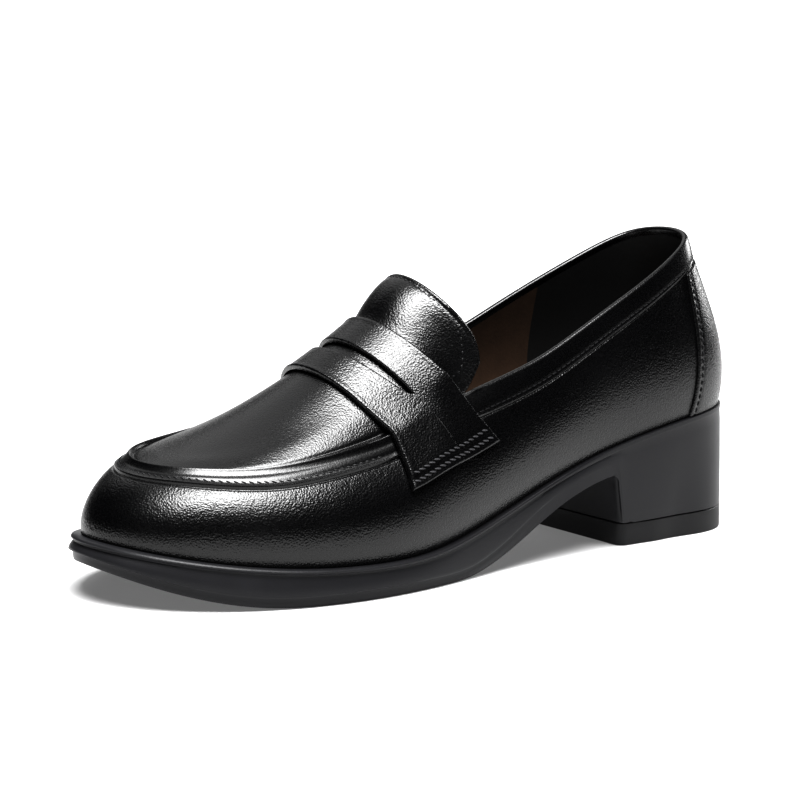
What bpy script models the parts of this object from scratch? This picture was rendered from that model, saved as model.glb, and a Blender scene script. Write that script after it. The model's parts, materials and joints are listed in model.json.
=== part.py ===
"""A penny loafer pump for the left foot: leather upper, strap, tongue and a moulded sole with a block heel.

The shoe stands on the floor at z = 0 with its toe towards -Y and its lateral side towards +X.
"along" runs from the heel curve of the last (0) to the toe tip, "across" is positive on the lateral side.
"""

import bmesh
import bpy
import numpy as np

# Driving sizes, in metres
LAST_LENGTH = 0.243
BALL_WIDTH = 0.0815
HEEL_HEIGHT = 0.0445
FOREFOOT_THICKNESS = 0.0105
TOE_SPRING = 0.0085
COLLAR_HEIGHT = 0.0600
INSTEP_HEIGHT = 0.0720

# Walls, gaps and trims, in metres
UPPER_WALL = 0.0016
GAP = 0.0003
COLLAR_BAND_WIDTH = 0.0090
COLLAR_BAND_STEP = 0.0006
SEAM_BAND_WIDTH = 0.0068
SEAM_RIDGE = 0.0013
SEAM_STEP_RUN = 0.0009
STRAP_THICKNESS = 0.0014
STRAP_LIFT = 0.0005
SLOT_WIDTH = 0.0042
COUNTER_THICKNESS = 0.0007
COUNTER_LOW = 0.0430
COUNTER_HIGH = 0.0325
TONGUE_THICKNESS = 0.0020
TONGUE_TILT = 0.6
INSOLE_THICKNESS = 0.0026
TOP_LIFT_THICKNESS = 0.0080
TOP_LIFT_BEVEL = 0.0006
HEEL_BASE_LENGTH = 0.0575
HEEL_TAPER = 0.0045
HEEL_BACK_FLARE = 0.0012
BREAST_LEAN = 0.0038
BREAST_RADIUS = 0.0058
BREAST_UPRIGHT = 0.72
BREAST_CORNER = 0.0030
TOP_LIFT_LEAN = 0.0008

# The wall of the upper, a row for each section from the heel curve to the toe tip. foot is where it
# meets the sole and top is the collar, or the apron seam further forward. Lengths along are shares of
# LAST_LENGTH, lengths across and the two reaches are shares of BALL_WIDTH, the collar's height above
# the sole is a share of COLLAR_HEIGHT, and shoulder is a share of the wall's own height.
WALL_COLUMNS = ("foot", "foot_lat", "foot_med", "top", "top_lat", "top_med", "collar", "swell", "shoulder", "curl")
WALL_ROWS = (
    (0.000, 0.000, 0.000, 0.064, 0.000, 0.000, 1.010, 0.060, 0.34, 0.060),
    (0.017, 0.170, 0.165, 0.074, 0.125, 0.125, 1.000, 0.058, 0.34, 0.060),
    (0.058, 0.280, 0.270, 0.099, 0.210, 0.210, 0.965, 0.056, 0.34, 0.055),
    (0.132, 0.345, 0.330, 0.163, 0.275, 0.275, 0.875, 0.060, 0.34, 0.050),
    (0.247, 0.367, 0.338, 0.266, 0.312, 0.308, 0.765, 0.065, 0.34, 0.055),
    (0.379, 0.385, 0.322, 0.387, 0.335, 0.325, 0.690, 0.080, 0.34, 0.060),
    (0.502, 0.435, 0.345, 0.492, 0.350, 0.340, 0.705, 0.085, 0.34, 0.075),
    (0.617, 0.497, 0.418, 0.601, 0.366, 0.352, 0.680, 0.070, 0.30, 0.103),
    (0.724, 0.512, 0.480, 0.704, 0.364, 0.356, 0.600, 0.055, 0.26, 0.120),
    (0.823, 0.460, 0.482, 0.798, 0.326, 0.342, 0.500, 0.040, 0.22, 0.126),
    (0.905, 0.355, 0.393, 0.870, 0.234, 0.292, 0.400, 0.025, 0.20, 0.125),
    (0.965, 0.205, 0.250, 0.911, 0.108, 0.186, 0.350, 0.018, 0.18, 0.120),
    (0.997, -0.035, 0.035, 0.925, -0.038, 0.038, 0.320, 0.015, 0.18, 0.118),
)

# The sole's top edge, a row for each place along. rise is the share of the heel's lift above the
# forefoot, spring the share of TOE_SPRING.
SEAT_COLUMNS = ("along", "rise", "spring")
SEAT_ROWS = (
    (0.00, 1.000, 0.00),
    (0.10, 0.940, 0.00),
    (0.20, 0.830, 0.00),
    (0.30, 0.660, 0.00),
    (0.40, 0.425, 0.00),
    (0.50, 0.185, 0.00),
    (0.60, 0.030, 0.00),
    (0.70, 0.000, 0.02),
    (0.80, 0.000, 0.15),
    (0.90, 0.000, 0.48),
    (1.00, 0.000, 1.00),
)

# The instep over the foot: height of its middle above the sole as a share of INSTEP_HEIGHT, and how
# fast it falls off to the sides as a share of 1 / BALL_WIDTH.
INSTEP_COLUMNS = ("along", "height", "crown", "centre")
INSTEP_ROWS = (
    (0.350, 1.120, 1.90, 0.000),
    (0.450, 1.145, 2.30, 0.000),
    (0.535, 1.028, 2.62, 0.000),
    (0.617, 0.878, 2.36, 0.000),
    (0.700, 0.710, 1.62, -0.012),
    (0.785, 0.552, 1.05, -0.030),
    (0.865, 0.422, 0.66, -0.055),
    (0.935, 0.312, 0.36, -0.075),
)

# The sole's edge: how far it stands out from the upper and how much further its side swells, as shares
# of BALL_WIDTH.
EDGE_COLUMNS = ("along", "margin", "flare")
EDGE_ROWS = (
    (0.00, 0.021, 0.004),
    (0.30, 0.016, 0.004),
    (0.50, 0.017, 0.006),
    (0.65, 0.025, 0.011),
    (0.85, 0.027, 0.016),
    (0.95, 0.028, 0.017),
    (1.00, 0.029, 0.020),
)

# Rings of the sole's side from the ledge to the bottom: distance down from the ledge, distance up from
# the bottom, share of the height between the two, how far the ring stands out, how much of the flare
# it has, and how far the tread under the forefoot steps in. Lengths are shares of FOREFOOT_THICKNESS.
RING_COLUMNS = ("drop", "rise", "share", "bead", "flare", "tread")
RING_ROWS = (
    (0.000, 0.324, 0.00, -0.019, 0.00, 0.000),
    (0.029, 0.324, 0.00, 0.029, 0.00, 0.000),
    (0.105, 0.324, 0.00, 0.038, 0.05, 0.000),
    (0.152, 0.324, 0.00, 0.000, 0.10, 0.000),
    (0.152, 0.324, 0.40, 0.000, 0.65, 0.000),
    (0.152, 0.324, 0.80, 0.000, 0.98, 0.000),
    (0.152, 0.333, 1.00, 0.000, 1.00, 0.000),
    (0.152, 0.300, 1.00, 0.000, 0.95, 0.080),
    (0.152, 0.067, 1.00, 0.000, 0.80, 0.100),
    (0.152, 0.000, 1.00, 0.000, 0.75, 0.165),
)

# The underside of the waist, as shares of the heel's lift, from the breast to the tread.
ARCH_COLUMNS = ("along", "rise")
ARCH_ROWS = (
    (0.230, 0.800),
    (0.300, 0.730),
    (0.380, 0.530),
    (0.460, 0.215),
    (0.530, 0.030),
    (0.580, 0.000),
)

# The tongue from its front, under the apron, to its free edge: where each line crosses the middle and
# meets the side as shares of LAST_LENGTH, its half width as a share of BALL_WIDTH, and how far its
# middle stands above the instep and its sides fall below that, as shares of INSTEP_HEIGHT.
TONGUE_COLUMNS = ("middle", "side", "half_width", "lift", "fall")
TONGUE_ROWS = (
    (0.680, 0.645, 0.190, 0.000, 0.000),
    (0.640, 0.605, 0.235, 0.000, 0.000),
    (0.610, 0.576, 0.275, 0.000, 0.000),
    (0.590, 0.556, 0.300, 0.012, 0.040),
    (0.578, 0.544, 0.312, 0.036, 0.120),
    (0.566, 0.530, 0.320, 0.055, 0.180),
    (0.554, 0.512, 0.328, 0.064, 0.210),
    (0.543, 0.497, 0.338, 0.062, 0.150),
    (0.535, 0.486, 0.345, 0.055, 0.080),
    (0.531, 0.481, 0.342, 0.052, 0.050),
)

# Lines of the strap from its rear edge to its front edge: where it crosses the middle, the apron seam
# and its lower end, as shares of LAST_LENGTH, and the height of that end as a share of the wall.
STRAP_COLUMNS = ("middle", "seam", "end", "end_share")
STRAP_REAR = (0.592, 0.533, 0.484, 0.575)
STRAP_FRONT = (0.687, 0.640, 0.632, 0.525)

# Columns round the shoe and rows up it
HALF_COLUMNS = 40
LOWER_ROWS = 6
APRON_ROWS = 6
STRAP_LINES = 4
STRAP_POINTS = 33

# Shares along the last of the places where the pieces meet
THROAT = 0.585
RIDGE_START = (0.575, 0.625)
APRON_POLE = 0.860
TREAD_FLAT = (0.600, 0.790)
TOE_LIFT = 1.35
TONGUE_TUCK = (0.593, 0.609)
SLOT_PLACE = 0.44
SLOT_HALF_LENGTH = 0.315


def spline(knots, values, at, period=None):
    """A cubic through values at knots with smooth curvature: periodic where a period is given, or natural."""
    knots = np.asarray(knots, float)
    values = np.asarray(values, float).reshape(len(knots), -1)
    count = len(knots)
    matrix, right = np.eye(count), np.zeros_like(values)
    if period:
        steps = np.diff(np.append(knots, knots[0] + period))
        slopes = (np.roll(values, -1, axis=0) - values) / steps[:, None]
        rows = range(count)
    else:
        steps = np.diff(knots)
        slopes = np.diff(values, axis=0) / steps[:, None]
        rows = range(1, count - 1)
    for row in rows:
        matrix[row] = 0
        matrix[row, row - 1] = steps[row - 1]
        matrix[row, row] = 2 * (steps[row - 1] + steps[row])
        matrix[row, (row + 1) % count] = steps[row]
        right[row] = 6 * (slopes[row] - slopes[row - 1])
    bends = np.linalg.solve(matrix, right)
    at = np.asarray(at, float)
    if period:
        at = np.mod(at - knots[0], period) + knots[0]
    else:
        at = np.clip(at, knots[0], knots[-1])
    low = np.clip(np.searchsorted(knots, at, side="right") - 1, 0, len(steps) - 1)
    high = (low + 1) % count
    step = steps[low][..., None]
    share = (at - knots[low])[..., None] / step
    rest = 1 - share
    found = rest * values[low] + share * values[high]
    found += ((rest**3 - rest) * bends[low] + (share**3 - share) * bends[high]) * step**2 / 6
    return found[..., 0] if found.shape[-1] == 1 else found


def smoothstep(low, high, value):
    """A smooth turn from 0 at low to 1 at high."""
    share = np.clip((np.asarray(value, float) - low) / (high - low), 0, 1)
    return share * share * (3 - 2 * share)


def table(columns, rows):
    return dict(zip(columns, np.array(rows, float).T))


WALL = table(WALL_COLUMNS, WALL_ROWS)
SEAT = table(SEAT_COLUMNS, SEAT_ROWS)
INSTEP = table(INSTEP_COLUMNS, INSTEP_ROWS)
EDGE = table(EDGE_COLUMNS, EDGE_ROWS)
ARCH = table(ARCH_COLUMNS, ARCH_ROWS)
TONGUE = table(TONGUE_COLUMNS, TONGUE_ROWS)


def seat_height(along):
    """Height of the sole's top edge above the floor."""
    share = np.asarray(along, float) / LAST_LENGTH
    rise = spline(SEAT["along"], SEAT["rise"], share)
    spring = spline(SEAT["along"], SEAT["spring"], share)
    return FOREFOOT_THICKNESS + (HEEL_HEIGHT - FOREFOOT_THICKNESS) * rise + TOE_SPRING * spring


def instep_surface(across, along):
    """Height of the leather over the top of the foot."""
    share = np.asarray(along, float) / LAST_LENGTH
    height = spline(INSTEP["along"], INSTEP["height"], share) * INSTEP_HEIGHT
    crown = spline(INSTEP["along"], INSTEP["crown"], share) / BALL_WIDTH
    centre = spline(INSTEP["along"], INSTEP["centre"], share) * BALL_WIDTH
    return seat_height(along) + height - crown * (across - centre) ** 2


def section_knots():
    """Places of the wall's rows round half the shoe, shared by both sides, in metres."""
    run = np.diff(WALL["foot"]) * LAST_LENGTH
    out = (np.diff(WALL["foot_lat"]) + np.diff(WALL["foot_med"])) / 2 * BALL_WIDTH
    return np.concatenate([[0], np.cumsum(np.hypot(run, out))])


KNOTS = section_knots()
HALF = KNOTS[-1]


def section(place):
    """The wall's table read at a place round the shoe: 0 at the heel, HALF at the toe, on to 2 * HALF."""
    names = ("foot", "foot_lat", "top", "top_lat", "collar", "swell", "shoulder", "curl")
    lateral = np.column_stack([WALL[name] for name in names])
    medial = np.column_stack([WALL[name.replace("_lat", "_med")] for name in names])
    medial[:, 1] *= -1
    medial[:, 3] *= -1
    ring = np.vstack([lateral, medial[-2:0:-1]])
    knots = np.concatenate([KNOTS, 2 * HALF - KNOTS[-2:0:-1]])
    return dict(zip(names, np.moveaxis(spline(knots, ring, place, 2 * HALF), -1, 0)))


def foot_outline(place):
    """Across and along of the upper's foot, and the unit vector that points outwards there."""
    found = section(place)
    ahead = section(np.asarray(place) + 1e-4)
    across, along = found["foot_lat"] * BALL_WIDTH, found["foot"] * LAST_LENGTH
    run = np.stack([ahead["foot_lat"] * BALL_WIDTH - across, ahead["foot"] * LAST_LENGTH - along], axis=-1)
    run /= np.linalg.norm(run, axis=-1, keepdims=True)
    return across, along, np.stack([run[..., 1], -run[..., 0]], axis=-1)


def forward(place):
    """1 where the wall ends at the apron seam, 0 where it ends at the collar."""
    return smoothstep(*RIDGE_START, section(place)["top"])


def wall(place, share):
    """A point of the upper's wall, from its foot (share 0) to its top (share 1): across, along, up."""
    found = section(place)
    across, along, out = foot_outline(place)
    top_across, top_along = found["top_lat"] * BALL_WIDTH, found["top"] * LAST_LENGTH
    foot_up = seat_height(along)
    collar = seat_height(top_along) + found["collar"] * COLLAR_HEIGHT
    seam = instep_surface(top_across, top_along)
    weight = smoothstep(THROAT - 0.05, RIDGE_START[1], found["top"])
    top_up = collar + (seam - collar) * weight
    height = top_up - foot_up
    foot = np.stack([across, along, foot_up], axis=-1)
    top = np.stack([top_across, top_along, top_up], axis=-1)
    low, high = foot.copy(), top.copy()
    low[..., :2] += out * (found["swell"] * BALL_WIDTH)[..., None]
    low[..., 2] += 0.38 * height
    high[..., :2] += out * (found["curl"] * BALL_WIDTH)[..., None]
    high[..., 2] -= found["shoulder"] * height
    s = np.asarray(share, float)[..., None]
    r = 1 - s
    return r**3 * foot + 3 * r * r * s * low + 3 * r * s * s * high + s**3 * top


def wall_normal(place, share):
    """The unit vector that points out of the wall."""
    step = 1e-3
    low, high = np.clip(share - step, 0, 1), np.clip(share + step, 0, 1)
    up = wall(place, high) - wall(place, low)
    round_ = wall(place + step * 0.1, share) - wall(place - step * 0.1, share)
    found = np.cross(round_, up)
    found /= np.linalg.norm(found, axis=-1, keepdims=True)
    return found


def instep_normal(across, along):
    step = 1e-4
    dx = (instep_surface(across + step, along) - instep_surface(across - step, along)) / (2 * step)
    da = (instep_surface(across, along + step) - instep_surface(across, along - step)) / (2 * step)
    found = np.stack([-dx, -da, np.ones_like(dx)], axis=-1)
    return found / np.linalg.norm(found, axis=-1, keepdims=True)


def wall_length(place):
    """Length of the wall from its foot to its top."""
    place = np.atleast_1d(place)
    shares = np.broadcast_to(np.linspace(0, 1, 25), (len(place), 25))
    points = wall(np.repeat(place[:, None], 25, 1), shares)
    return np.linalg.norm(np.diff(points, axis=1), axis=2).sum(axis=1)


def band_width(place):
    """Width of the collar band, or of the seam band further forward, which is narrower at the toe."""
    top = section(place)["top"]
    seam = SEAM_BAND_WIDTH * (1 - 0.25 * smoothstep(0.78, 0.92, top))
    return COLLAR_BAND_WIDTH + (seam - COLLAR_BAND_WIDTH) * forward(place)


def relief(place, down):
    """How far the leather stands out from the plain wall at a distance down from the wall's top."""
    top = section(place)["top"]
    collar = COLLAR_BAND_STEP * (1 - smoothstep(COLLAR_BAND_WIDTH - 0.0005, COLLAR_BAND_WIDTH, down))
    collar = collar * (1 - smoothstep(0.47, 0.53, top))
    rise = np.clip(1 - down / band_width(place), 0, 1)
    return collar + SEAM_RIDGE * (0.25 * smoothstep(0, 0.12, rise) + 0.75 * rise**1.5) * forward(place)


def crease(place):
    """Unit normals of the wall and of the apron where they meet, the share of the meeting that is a
    crease, and the miter that offsets both faces by one."""
    top = wall(place, np.ones_like(place))
    side = wall_normal(place, np.ones_like(place))
    over = instep_normal(top[..., 0], top[..., 1])
    cosine = (side * over).sum(axis=-1)
    weight = forward(place)
    miter = side + ((side + over) / (1 + cosine)[..., None] - side) * weight[..., None]
    retreat = np.tan(np.arccos(np.clip(cosine, -1, 1)) / 2) * weight
    return miter, retreat


def columns():
    """Places round the shoe of the upper's columns, closer together at the heel and the toe."""
    turn = np.linspace(0, 1, HALF_COLUMNS + 1)
    half = HALF * (turn - 0.052 * np.sin(2 * np.pi * turn))
    return np.concatenate([half, 2 * HALF - half[-2:0:-1]])


def quads(index, closed=False):
    """Faces between neighbouring rows of an array of vertex numbers."""
    if closed:
        index = np.column_stack([index, index[:, 0]])
    faces = []
    for low, high in zip(index[:-1], index[1:]):
        for col in range(len(low) - 1):
            face = [low[col], low[col + 1], high[col + 1], high[col]]
            face = [v for k, v in enumerate(face) if v != face[k - 1]]
            if len(face) > 2:
                faces.append(tuple(int(v) for v in face))
    return faces


def shell(outer, inner, faces):
    """A solid between two sheets with the same faces, walled along their free edges."""
    count = len(outer)
    solid = list(faces) + [tuple(v + count for v in reversed(face)) for face in faces]
    edges = {(face[k - 1], face[k]) for face in faces for k in range(len(face))}
    solid += [(b, a, a + count, b + count) for a, b in edges if (b, a) not in edges]
    return np.vstack([outer, inner]), solid


def upper_grid():
    """Vertex numbers of the upper's wall rows, and of the apron's rows from the seam to its middle."""
    places = columns()
    count = len(places)
    tops = section(places[: HALF_COLUMNS + 1])["top"]
    first = int(np.argmin(np.abs(tops - THROAT)))
    rows = LOWER_ROWS + 5
    walls = np.arange(rows * count).reshape(rows, count)
    ring = np.arange(first, count - first + 1)
    pairs = HALF_COLUMNS - first + 1
    used = rows * count
    aprons = [walls[-1][ring]]
    for _ in range(APRON_ROWS - 1):
        aprons.append(used + np.arange(len(ring)))
        used += len(ring)
    middle = used + np.minimum(np.arange(len(ring)), len(ring) - 1 - np.arange(len(ring)))
    aprons.append(middle)
    return places, ring, pairs, walls, np.array(aprons)


def apron_points(edge, ring_tops, pairs, thickness):
    """Points of the apron from its edge to its middle, at a depth below the instep surface."""
    span = (APRON_POLE - THROAT) * LAST_LENGTH
    low, high = ring_tops[0], ring_tops[pairs - 1]
    middle_along = ring_tops[0] + 0.006 + (ring_tops - low) / (high - low) * (span - 0.006)
    middle_across = spline(INSTEP["along"], INSTEP["centre"], middle_along / LAST_LENGTH) * BALL_WIDTH
    middle = np.column_stack([middle_across, middle_along])
    reach = middle - edge[:, :2]
    length = np.linalg.norm(reach, axis=1)
    start = SEAM_STEP_RUN / length
    found = []
    for row in range(1, APRON_ROWS + 1):
        share = start + (1 - start) * (row - 1) / (APRON_ROWS - 1)
        flat = edge[:, :2] + reach * share[:, None]
        up = instep_surface(flat[:, 0], flat[:, 1])
        up = up - thickness / instep_normal(flat[:, 0], flat[:, 1])[:, 2]
        points = np.column_stack([flat, up])
        found.append(points[:pairs] if row == APRON_ROWS else points)
    return np.vstack(found)


def make_upper():
    """The whole upper: walls, collar band, seam ridge and apron, one leather wall thick."""
    places, ring, pairs, walls, aprons = upper_grid()
    length = wall_length(places)
    band = band_width(places)
    downs = [length * (1 - share) + band * share for share in np.linspace(0, 1, LOWER_ROWS + 1)]
    downs += [band - 0.0006, band * 0.5, np.full_like(band, 0.0010), np.zeros_like(band)]
    miter, retreat = crease(places)
    outer, inner = [], []
    for down in downs:
        share = 1 - down / length
        normal = wall_normal(places, share)
        if down is downs[-1]:
            normal = miter / np.linalg.norm(miter, axis=1, keepdims=True)
        outer.append(wall(places, share) + normal * relief(places, down)[:, None])
        if down is downs[-1]:
            inner.append(wall(places, share) - miter * UPPER_WALL)
            continue
        share = share * (1 - retreat * UPPER_WALL / length)
        inner.append(wall(places, share) - wall_normal(places, share) * UPPER_WALL)
    inner[0][:, 2] = outer[0][:, 2]
    tops = wall(places, np.ones_like(places))[ring]
    outer.append(apron_points(tops, tops[:, 1], pairs, 0))
    inner.append(apron_points(inner[-1][ring], tops[:, 1], pairs, UPPER_WALL))
    faces = quads(walls, closed=True) + quads(aprons)
    points, faces = shell(np.vstack(outer), np.vstack(inner), faces)
    return points + [0, 0, GAP], faces


def ladder(ring):
    """Faces across a closed ring of vertex numbers whose first and middle ones are its heel and toe."""
    half = len(ring) // 2
    other = np.concatenate([[ring[0]], ring[:half - 1:-1]])
    return quads(np.stack([ring[: half + 1], other]))


def offset_ring(places, out):
    """Across and along of the foot outline moved outwards by a distance."""
    across, along, normal = foot_outline(places)
    return np.column_stack([across, along]) + normal * np.broadcast_to(out, across.shape)[:, None]


def make_insole():
    """The sock inside the upper, a plate that follows the seat."""
    places = columns()
    inset = UPPER_WALL + GAP
    rings = []
    for out, up in ((-inset - 0.0004, GAP), (-inset, GAP + 0.0005), (-inset - 0.0006, GAP + INSOLE_THICKNESS)):
        ring = offset_ring(places, out)
        rings.append(np.column_stack([ring, seat_height(ring[:, 1]) + up]))
    count = len(places)
    index = np.arange(3 * count).reshape(3, count)
    bottom = [tuple(reversed(face)) for face in ladder(index[0])]
    return np.vstack(rings), quads(index, closed=True) + ladder(index[-1]) + bottom


def underside(along):
    """Height of the sole's underside: heel, breast, arch, tread and toe spring."""
    along = np.asarray(along, float)
    share = along / LAST_LENGTH
    lift = HEEL_HEIGHT - FOREFOOT_THICKNESS
    arch = np.maximum(spline(ARCH["along"], ARCH["rise"], share), 0) * lift
    arch = np.where(share > TREAD_FLAT[0] - 0.02, 0, arch)
    toe = TOE_LIFT * TOE_SPRING * np.clip((share - TREAD_FLAT[1]) / (1 - TREAD_FLAT[1]), 0, None) ** 2.1
    foot = TOP_LIFT_THICKNESS + GAP
    ahead = along - HEEL_BASE_LENGTH
    crest = np.maximum(spline(ARCH["along"], ARCH["rise"], np.maximum(share, ARCH["along"][0])), 0) * lift
    upright = (crest - foot) * BREAST_UPRIGHT
    turn = np.clip((ahead - BREAST_LEAN) / BREAST_RADIUS, 0, 1)
    rise = upright * np.clip(ahead / BREAST_LEAN, 0, 1)
    rise = rise + (crest - foot - upright) * np.sqrt(1 - (1 - turn) ** 2)
    heel = np.where(ahead <= 0, foot, np.minimum(foot + rise, crest))
    return np.where(share < 0.36, heel, arch + toe)


def sole_columns():
    """The upper's columns, with more of them where the breast of the heel turns up."""
    fine = np.linspace(0, HALF, 2001)
    along = foot_outline(fine)[1]
    upright = BREAST_LEAN * np.array([-0.4, 0, 0.34, 0.67])
    turn = BREAST_LEAN + BREAST_RADIUS * np.array([0, 0.10, 0.25, 0.45, 0.70, 1])
    breast = HEEL_BASE_LENGTH + np.concatenate([upright, turn])
    extra = np.interp(breast, along, fine)
    half = columns()[: HALF_COLUMNS + 1]
    kept = [place for place in half if not extra[0] - 0.003 < place < extra[-1] + 0.003]
    half = np.sort(np.concatenate([kept, extra]))
    return np.concatenate([half, 2 * HALF - half[-2:0:-1]])


def side_out(places, down, bead=0.0, flare=0.75, tread=0.0):
    """How far the sole's side stands out at a distance below the ledge. The heel narrows downwards."""
    share = section(places)["foot"]
    margin = spline(EDGE["along"], EDGE["margin"], share) * BALL_WIDTH
    swell = spline(EDGE["along"], EDGE["flare"], share) * BALL_WIDTH
    side = smoothstep(0.0, 0.14, share)
    heel = (HEEL_TAPER * side - HEEL_BACK_FLARE * (1 - side)) * (1 - smoothstep(0.26, 0.34, share))
    taper = heel * np.clip(down / (HEEL_HEIGHT - TOP_LIFT_THICKNESS), 0, 1.2) ** 1.2
    return margin + bead + swell * flare - tread * smoothstep(0.36, 0.52, share) - taper


def corner_shift(inset):
    """How far the rounded corner of the breast sets back at a distance in from the side."""
    turn = np.clip(inset / BREAST_CORNER, 0, 1)
    return BREAST_CORNER * (1 - np.sqrt(1 - (1 - turn) ** 2))


def make_sole():
    """Outsole, waist and heel block in one moulding."""
    places = sole_columns()
    foot = foot_outline(places)[1]
    top, low = seat_height(foot), underside(foot)
    rings = []
    for drop, rise, share, bead, flare, tread in RING_ROWS:
        drop, rise, bead, tread = (value * FOREFOOT_THICKNESS for value in (drop, rise, bead, tread))
        up = top - drop - (top - low - drop - rise) * share
        ring = offset_ring(places, side_out(places, top - up, bead, flare, tread))
        rings.append(np.column_stack([ring, up]))
    rings[0][:, 2] = seat_height(rings[0][:, 1])
    rings[-1][:, 2] = underside(rings[-1][:, 1] + BREAST_CORNER)
    count = len(places)
    half = count // 2
    index = np.arange(len(rings) * count).reshape(len(rings), count)
    lateral = rings[-1][: half + 1]
    medial = np.vstack([rings[-1][:1], rings[-1][: half - 1 : -1]])
    rows, extra, used = [index[-1][: half + 1]], [], index.size
    for share in (0.012, 0.04, 0.10, 0.5, 0.90, 0.96, 0.988):
        line = lateral + (medial - lateral) * share
        inset = np.linalg.norm(medial - lateral, axis=1) * min(share, 1 - share)
        line[:, 2] = underside(line[:, 1] + corner_shift(inset))
        row = np.empty(half + 1, int)
        row[0], row[-1] = index[-1][0], index[-1][half]
        row[1:-1] = used + np.arange(half - 1)
        used += half - 1
        extra.append(line[1:-1])
        rows.append(row)
    rows.append(np.concatenate([[index[-1][0]], index[-1][: half - 1 : -1]]))
    faces = quads(index, closed=True) + ladder(index[0]) + quads(np.array(rows))
    return np.vstack(rings + extra), faces


def make_top_lift():
    """The wearing piece under the heel block, with a small bevel round its bottom."""
    fine = np.linspace(-0.2 * HALF, 0.2 * HALF, 801)
    back = 401
    stations = np.sort(np.concatenate([
        (HEEL_BASE_LENGTH - BREAST_CORNER) * np.array([0.006, 0.025, 0.055, 0.10, 0.16, 0.24, 0.34, 0.5, 0.75]),
        HEEL_BASE_LENGTH - BREAST_CORNER * np.array([1, 0.62, 0.34, 0.14, 0.03, 0]),
    ]))
    turn = np.clip(1 - (HEEL_BASE_LENGTH - stations) / BREAST_CORNER, 0, 1)
    inset = BREAST_CORNER * (1 - np.sqrt(1 - turn**2))
    rings = []
    for up, inwards in ((TOP_LIFT_THICKNESS, 0), (TOP_LIFT_BEVEL, 0), (0, TOP_LIFT_BEVEL)):
        down = seat_height(np.abs(foot_outline(fine)[1])) - up
        outline = offset_ring(fine, side_out(fine, down) - inwards)
        lean = TOP_LIFT_LEAN * (1 - up / TOP_LIFT_THICKNESS) + inwards
        start = outline[back - 1, 1]
        along = start + stations * (HEEL_BASE_LENGTH - lean - start) / HEEL_BASE_LENGTH
        lateral = np.interp(along, outline[back - 1 :, 1], outline[back - 1 :, 0]) - inset
        medial = np.interp(along, outline[back - 1 :: -1, 1], outline[back - 1 :: -1, 0]) + inset
        points = [[outline[back - 1, 0], start]] + list(np.column_stack([lateral, along]))
        points += list(np.column_stack([medial, along])[::-1])
        rings.append(np.column_stack([points, np.full(len(points), up)]))
    count = len(rings[0])
    index = np.arange(3 * count).reshape(3, count)
    across = count // 2
    faces = quads(index, closed=True)
    for ring in (index[0], index[-1]):
        faces += quads(np.stack([ring[: across + 1], np.concatenate([[ring[0]], ring[:across:-1]])]))
    return np.vstack(rings), faces


def sheet_normals(grid):
    """Unit normals of a grid of points, upwards."""
    rows, cols = np.gradient(grid, axis=0), np.gradient(grid, axis=1)
    found = np.cross(rows, cols)
    found *= np.sign(found[..., 2:].mean())
    return found / np.linalg.norm(found, axis=-1, keepdims=True)


def make_tongue():
    """The tongue, tucked under the apron and rising free behind the strap."""
    across = np.linspace(-1, 1, 17)
    knots = np.linspace(0, 1, len(TONGUE_ROWS))
    lines = np.linspace(0, 1, 17)
    middle, side, half, lift, fall = (spline(knots, TONGUE[name], lines)[:, None] for name in TONGUE_COLUMNS)
    x = across * half * BALL_WIDTH
    along = (middle + (side - middle) * across**2) * LAST_LENGTH
    outer = np.stack([x, along, instep_surface(x, along)], axis=-1)
    tuck = (UPPER_WALL + 2 * GAP) * smoothstep(*TONGUE_TUCK, middle) + GAP
    outer -= instep_normal(x, along) * tuck[..., None]
    outer[..., 2] += (lift * (1 - TONGUE_TILT * across) - fall * across**4) * INSTEP_HEIGHT
    inner = outer - sheet_normals(outer) * TONGUE_THICKNESS
    index = np.arange(x.size).reshape(x.shape)
    points, faces = shell(outer.reshape(-1, 3), inner.reshape(-1, 3), quads(index))
    return points + [0, 0, GAP], faces


def taut(line):
    """The points of a curve that a band pulled over it touches, seen along the shoe."""
    kept = []
    for point in line:
        while len(kept) > 1:
            first = kept[-1] - kept[-2]
            second = point - kept[-2]
            if first[0] * second[2] - first[2] * second[0] > 0:
                break
            kept.pop()
        kept.append(point)
    return np.array(kept)


def strap_line(middle, seam, end, end_share):
    """Points across the shoe that the strap's underside follows, evenly spaced, lateral end first."""
    fine = np.linspace(0, HALF, 1001)
    found = section(fine)
    seam_place = np.interp(seam, found["top"], fine)
    end_place = np.interp(end, found["top"], fine)
    shares = np.linspace(end_share, 1, 24)
    part = (1 - shares) / (1 - end_share)
    sides = []
    for sign in (1, -1):
        place = seam_place + (end_place - seam_place) * part
        place = place if sign > 0 else 2 * HALF - place
        down = wall_length(place) * (1 - shares)
        sides.append(wall(place, shares) + wall_normal(place, shares) * relief(place, down)[:, None])
    lateral, medial = sides[0][-1], sides[1][-1]
    across = np.linspace(lateral[0], medial[0], 61)[1:-1]
    reach = np.where(across > 0, across / lateral[0], across / medial[0])
    along = middle * LAST_LENGTH + (lateral[1] - middle * LAST_LENGTH) * reach**2
    top = np.column_stack([across, along, instep_surface(across, along)])
    top = top[np.abs(reach) < 0.93]
    line = taut(np.vstack([sides[0], top, sides[1][::-1]]))
    run = np.concatenate([[0], np.cumsum(np.linalg.norm(np.diff(line[:, ::2], axis=0), axis=1))])
    at = np.linspace(0, run[-1], STRAP_POINTS)
    return np.column_stack([np.interp(at, run, line[:, k]) for k in range(3)])


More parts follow.
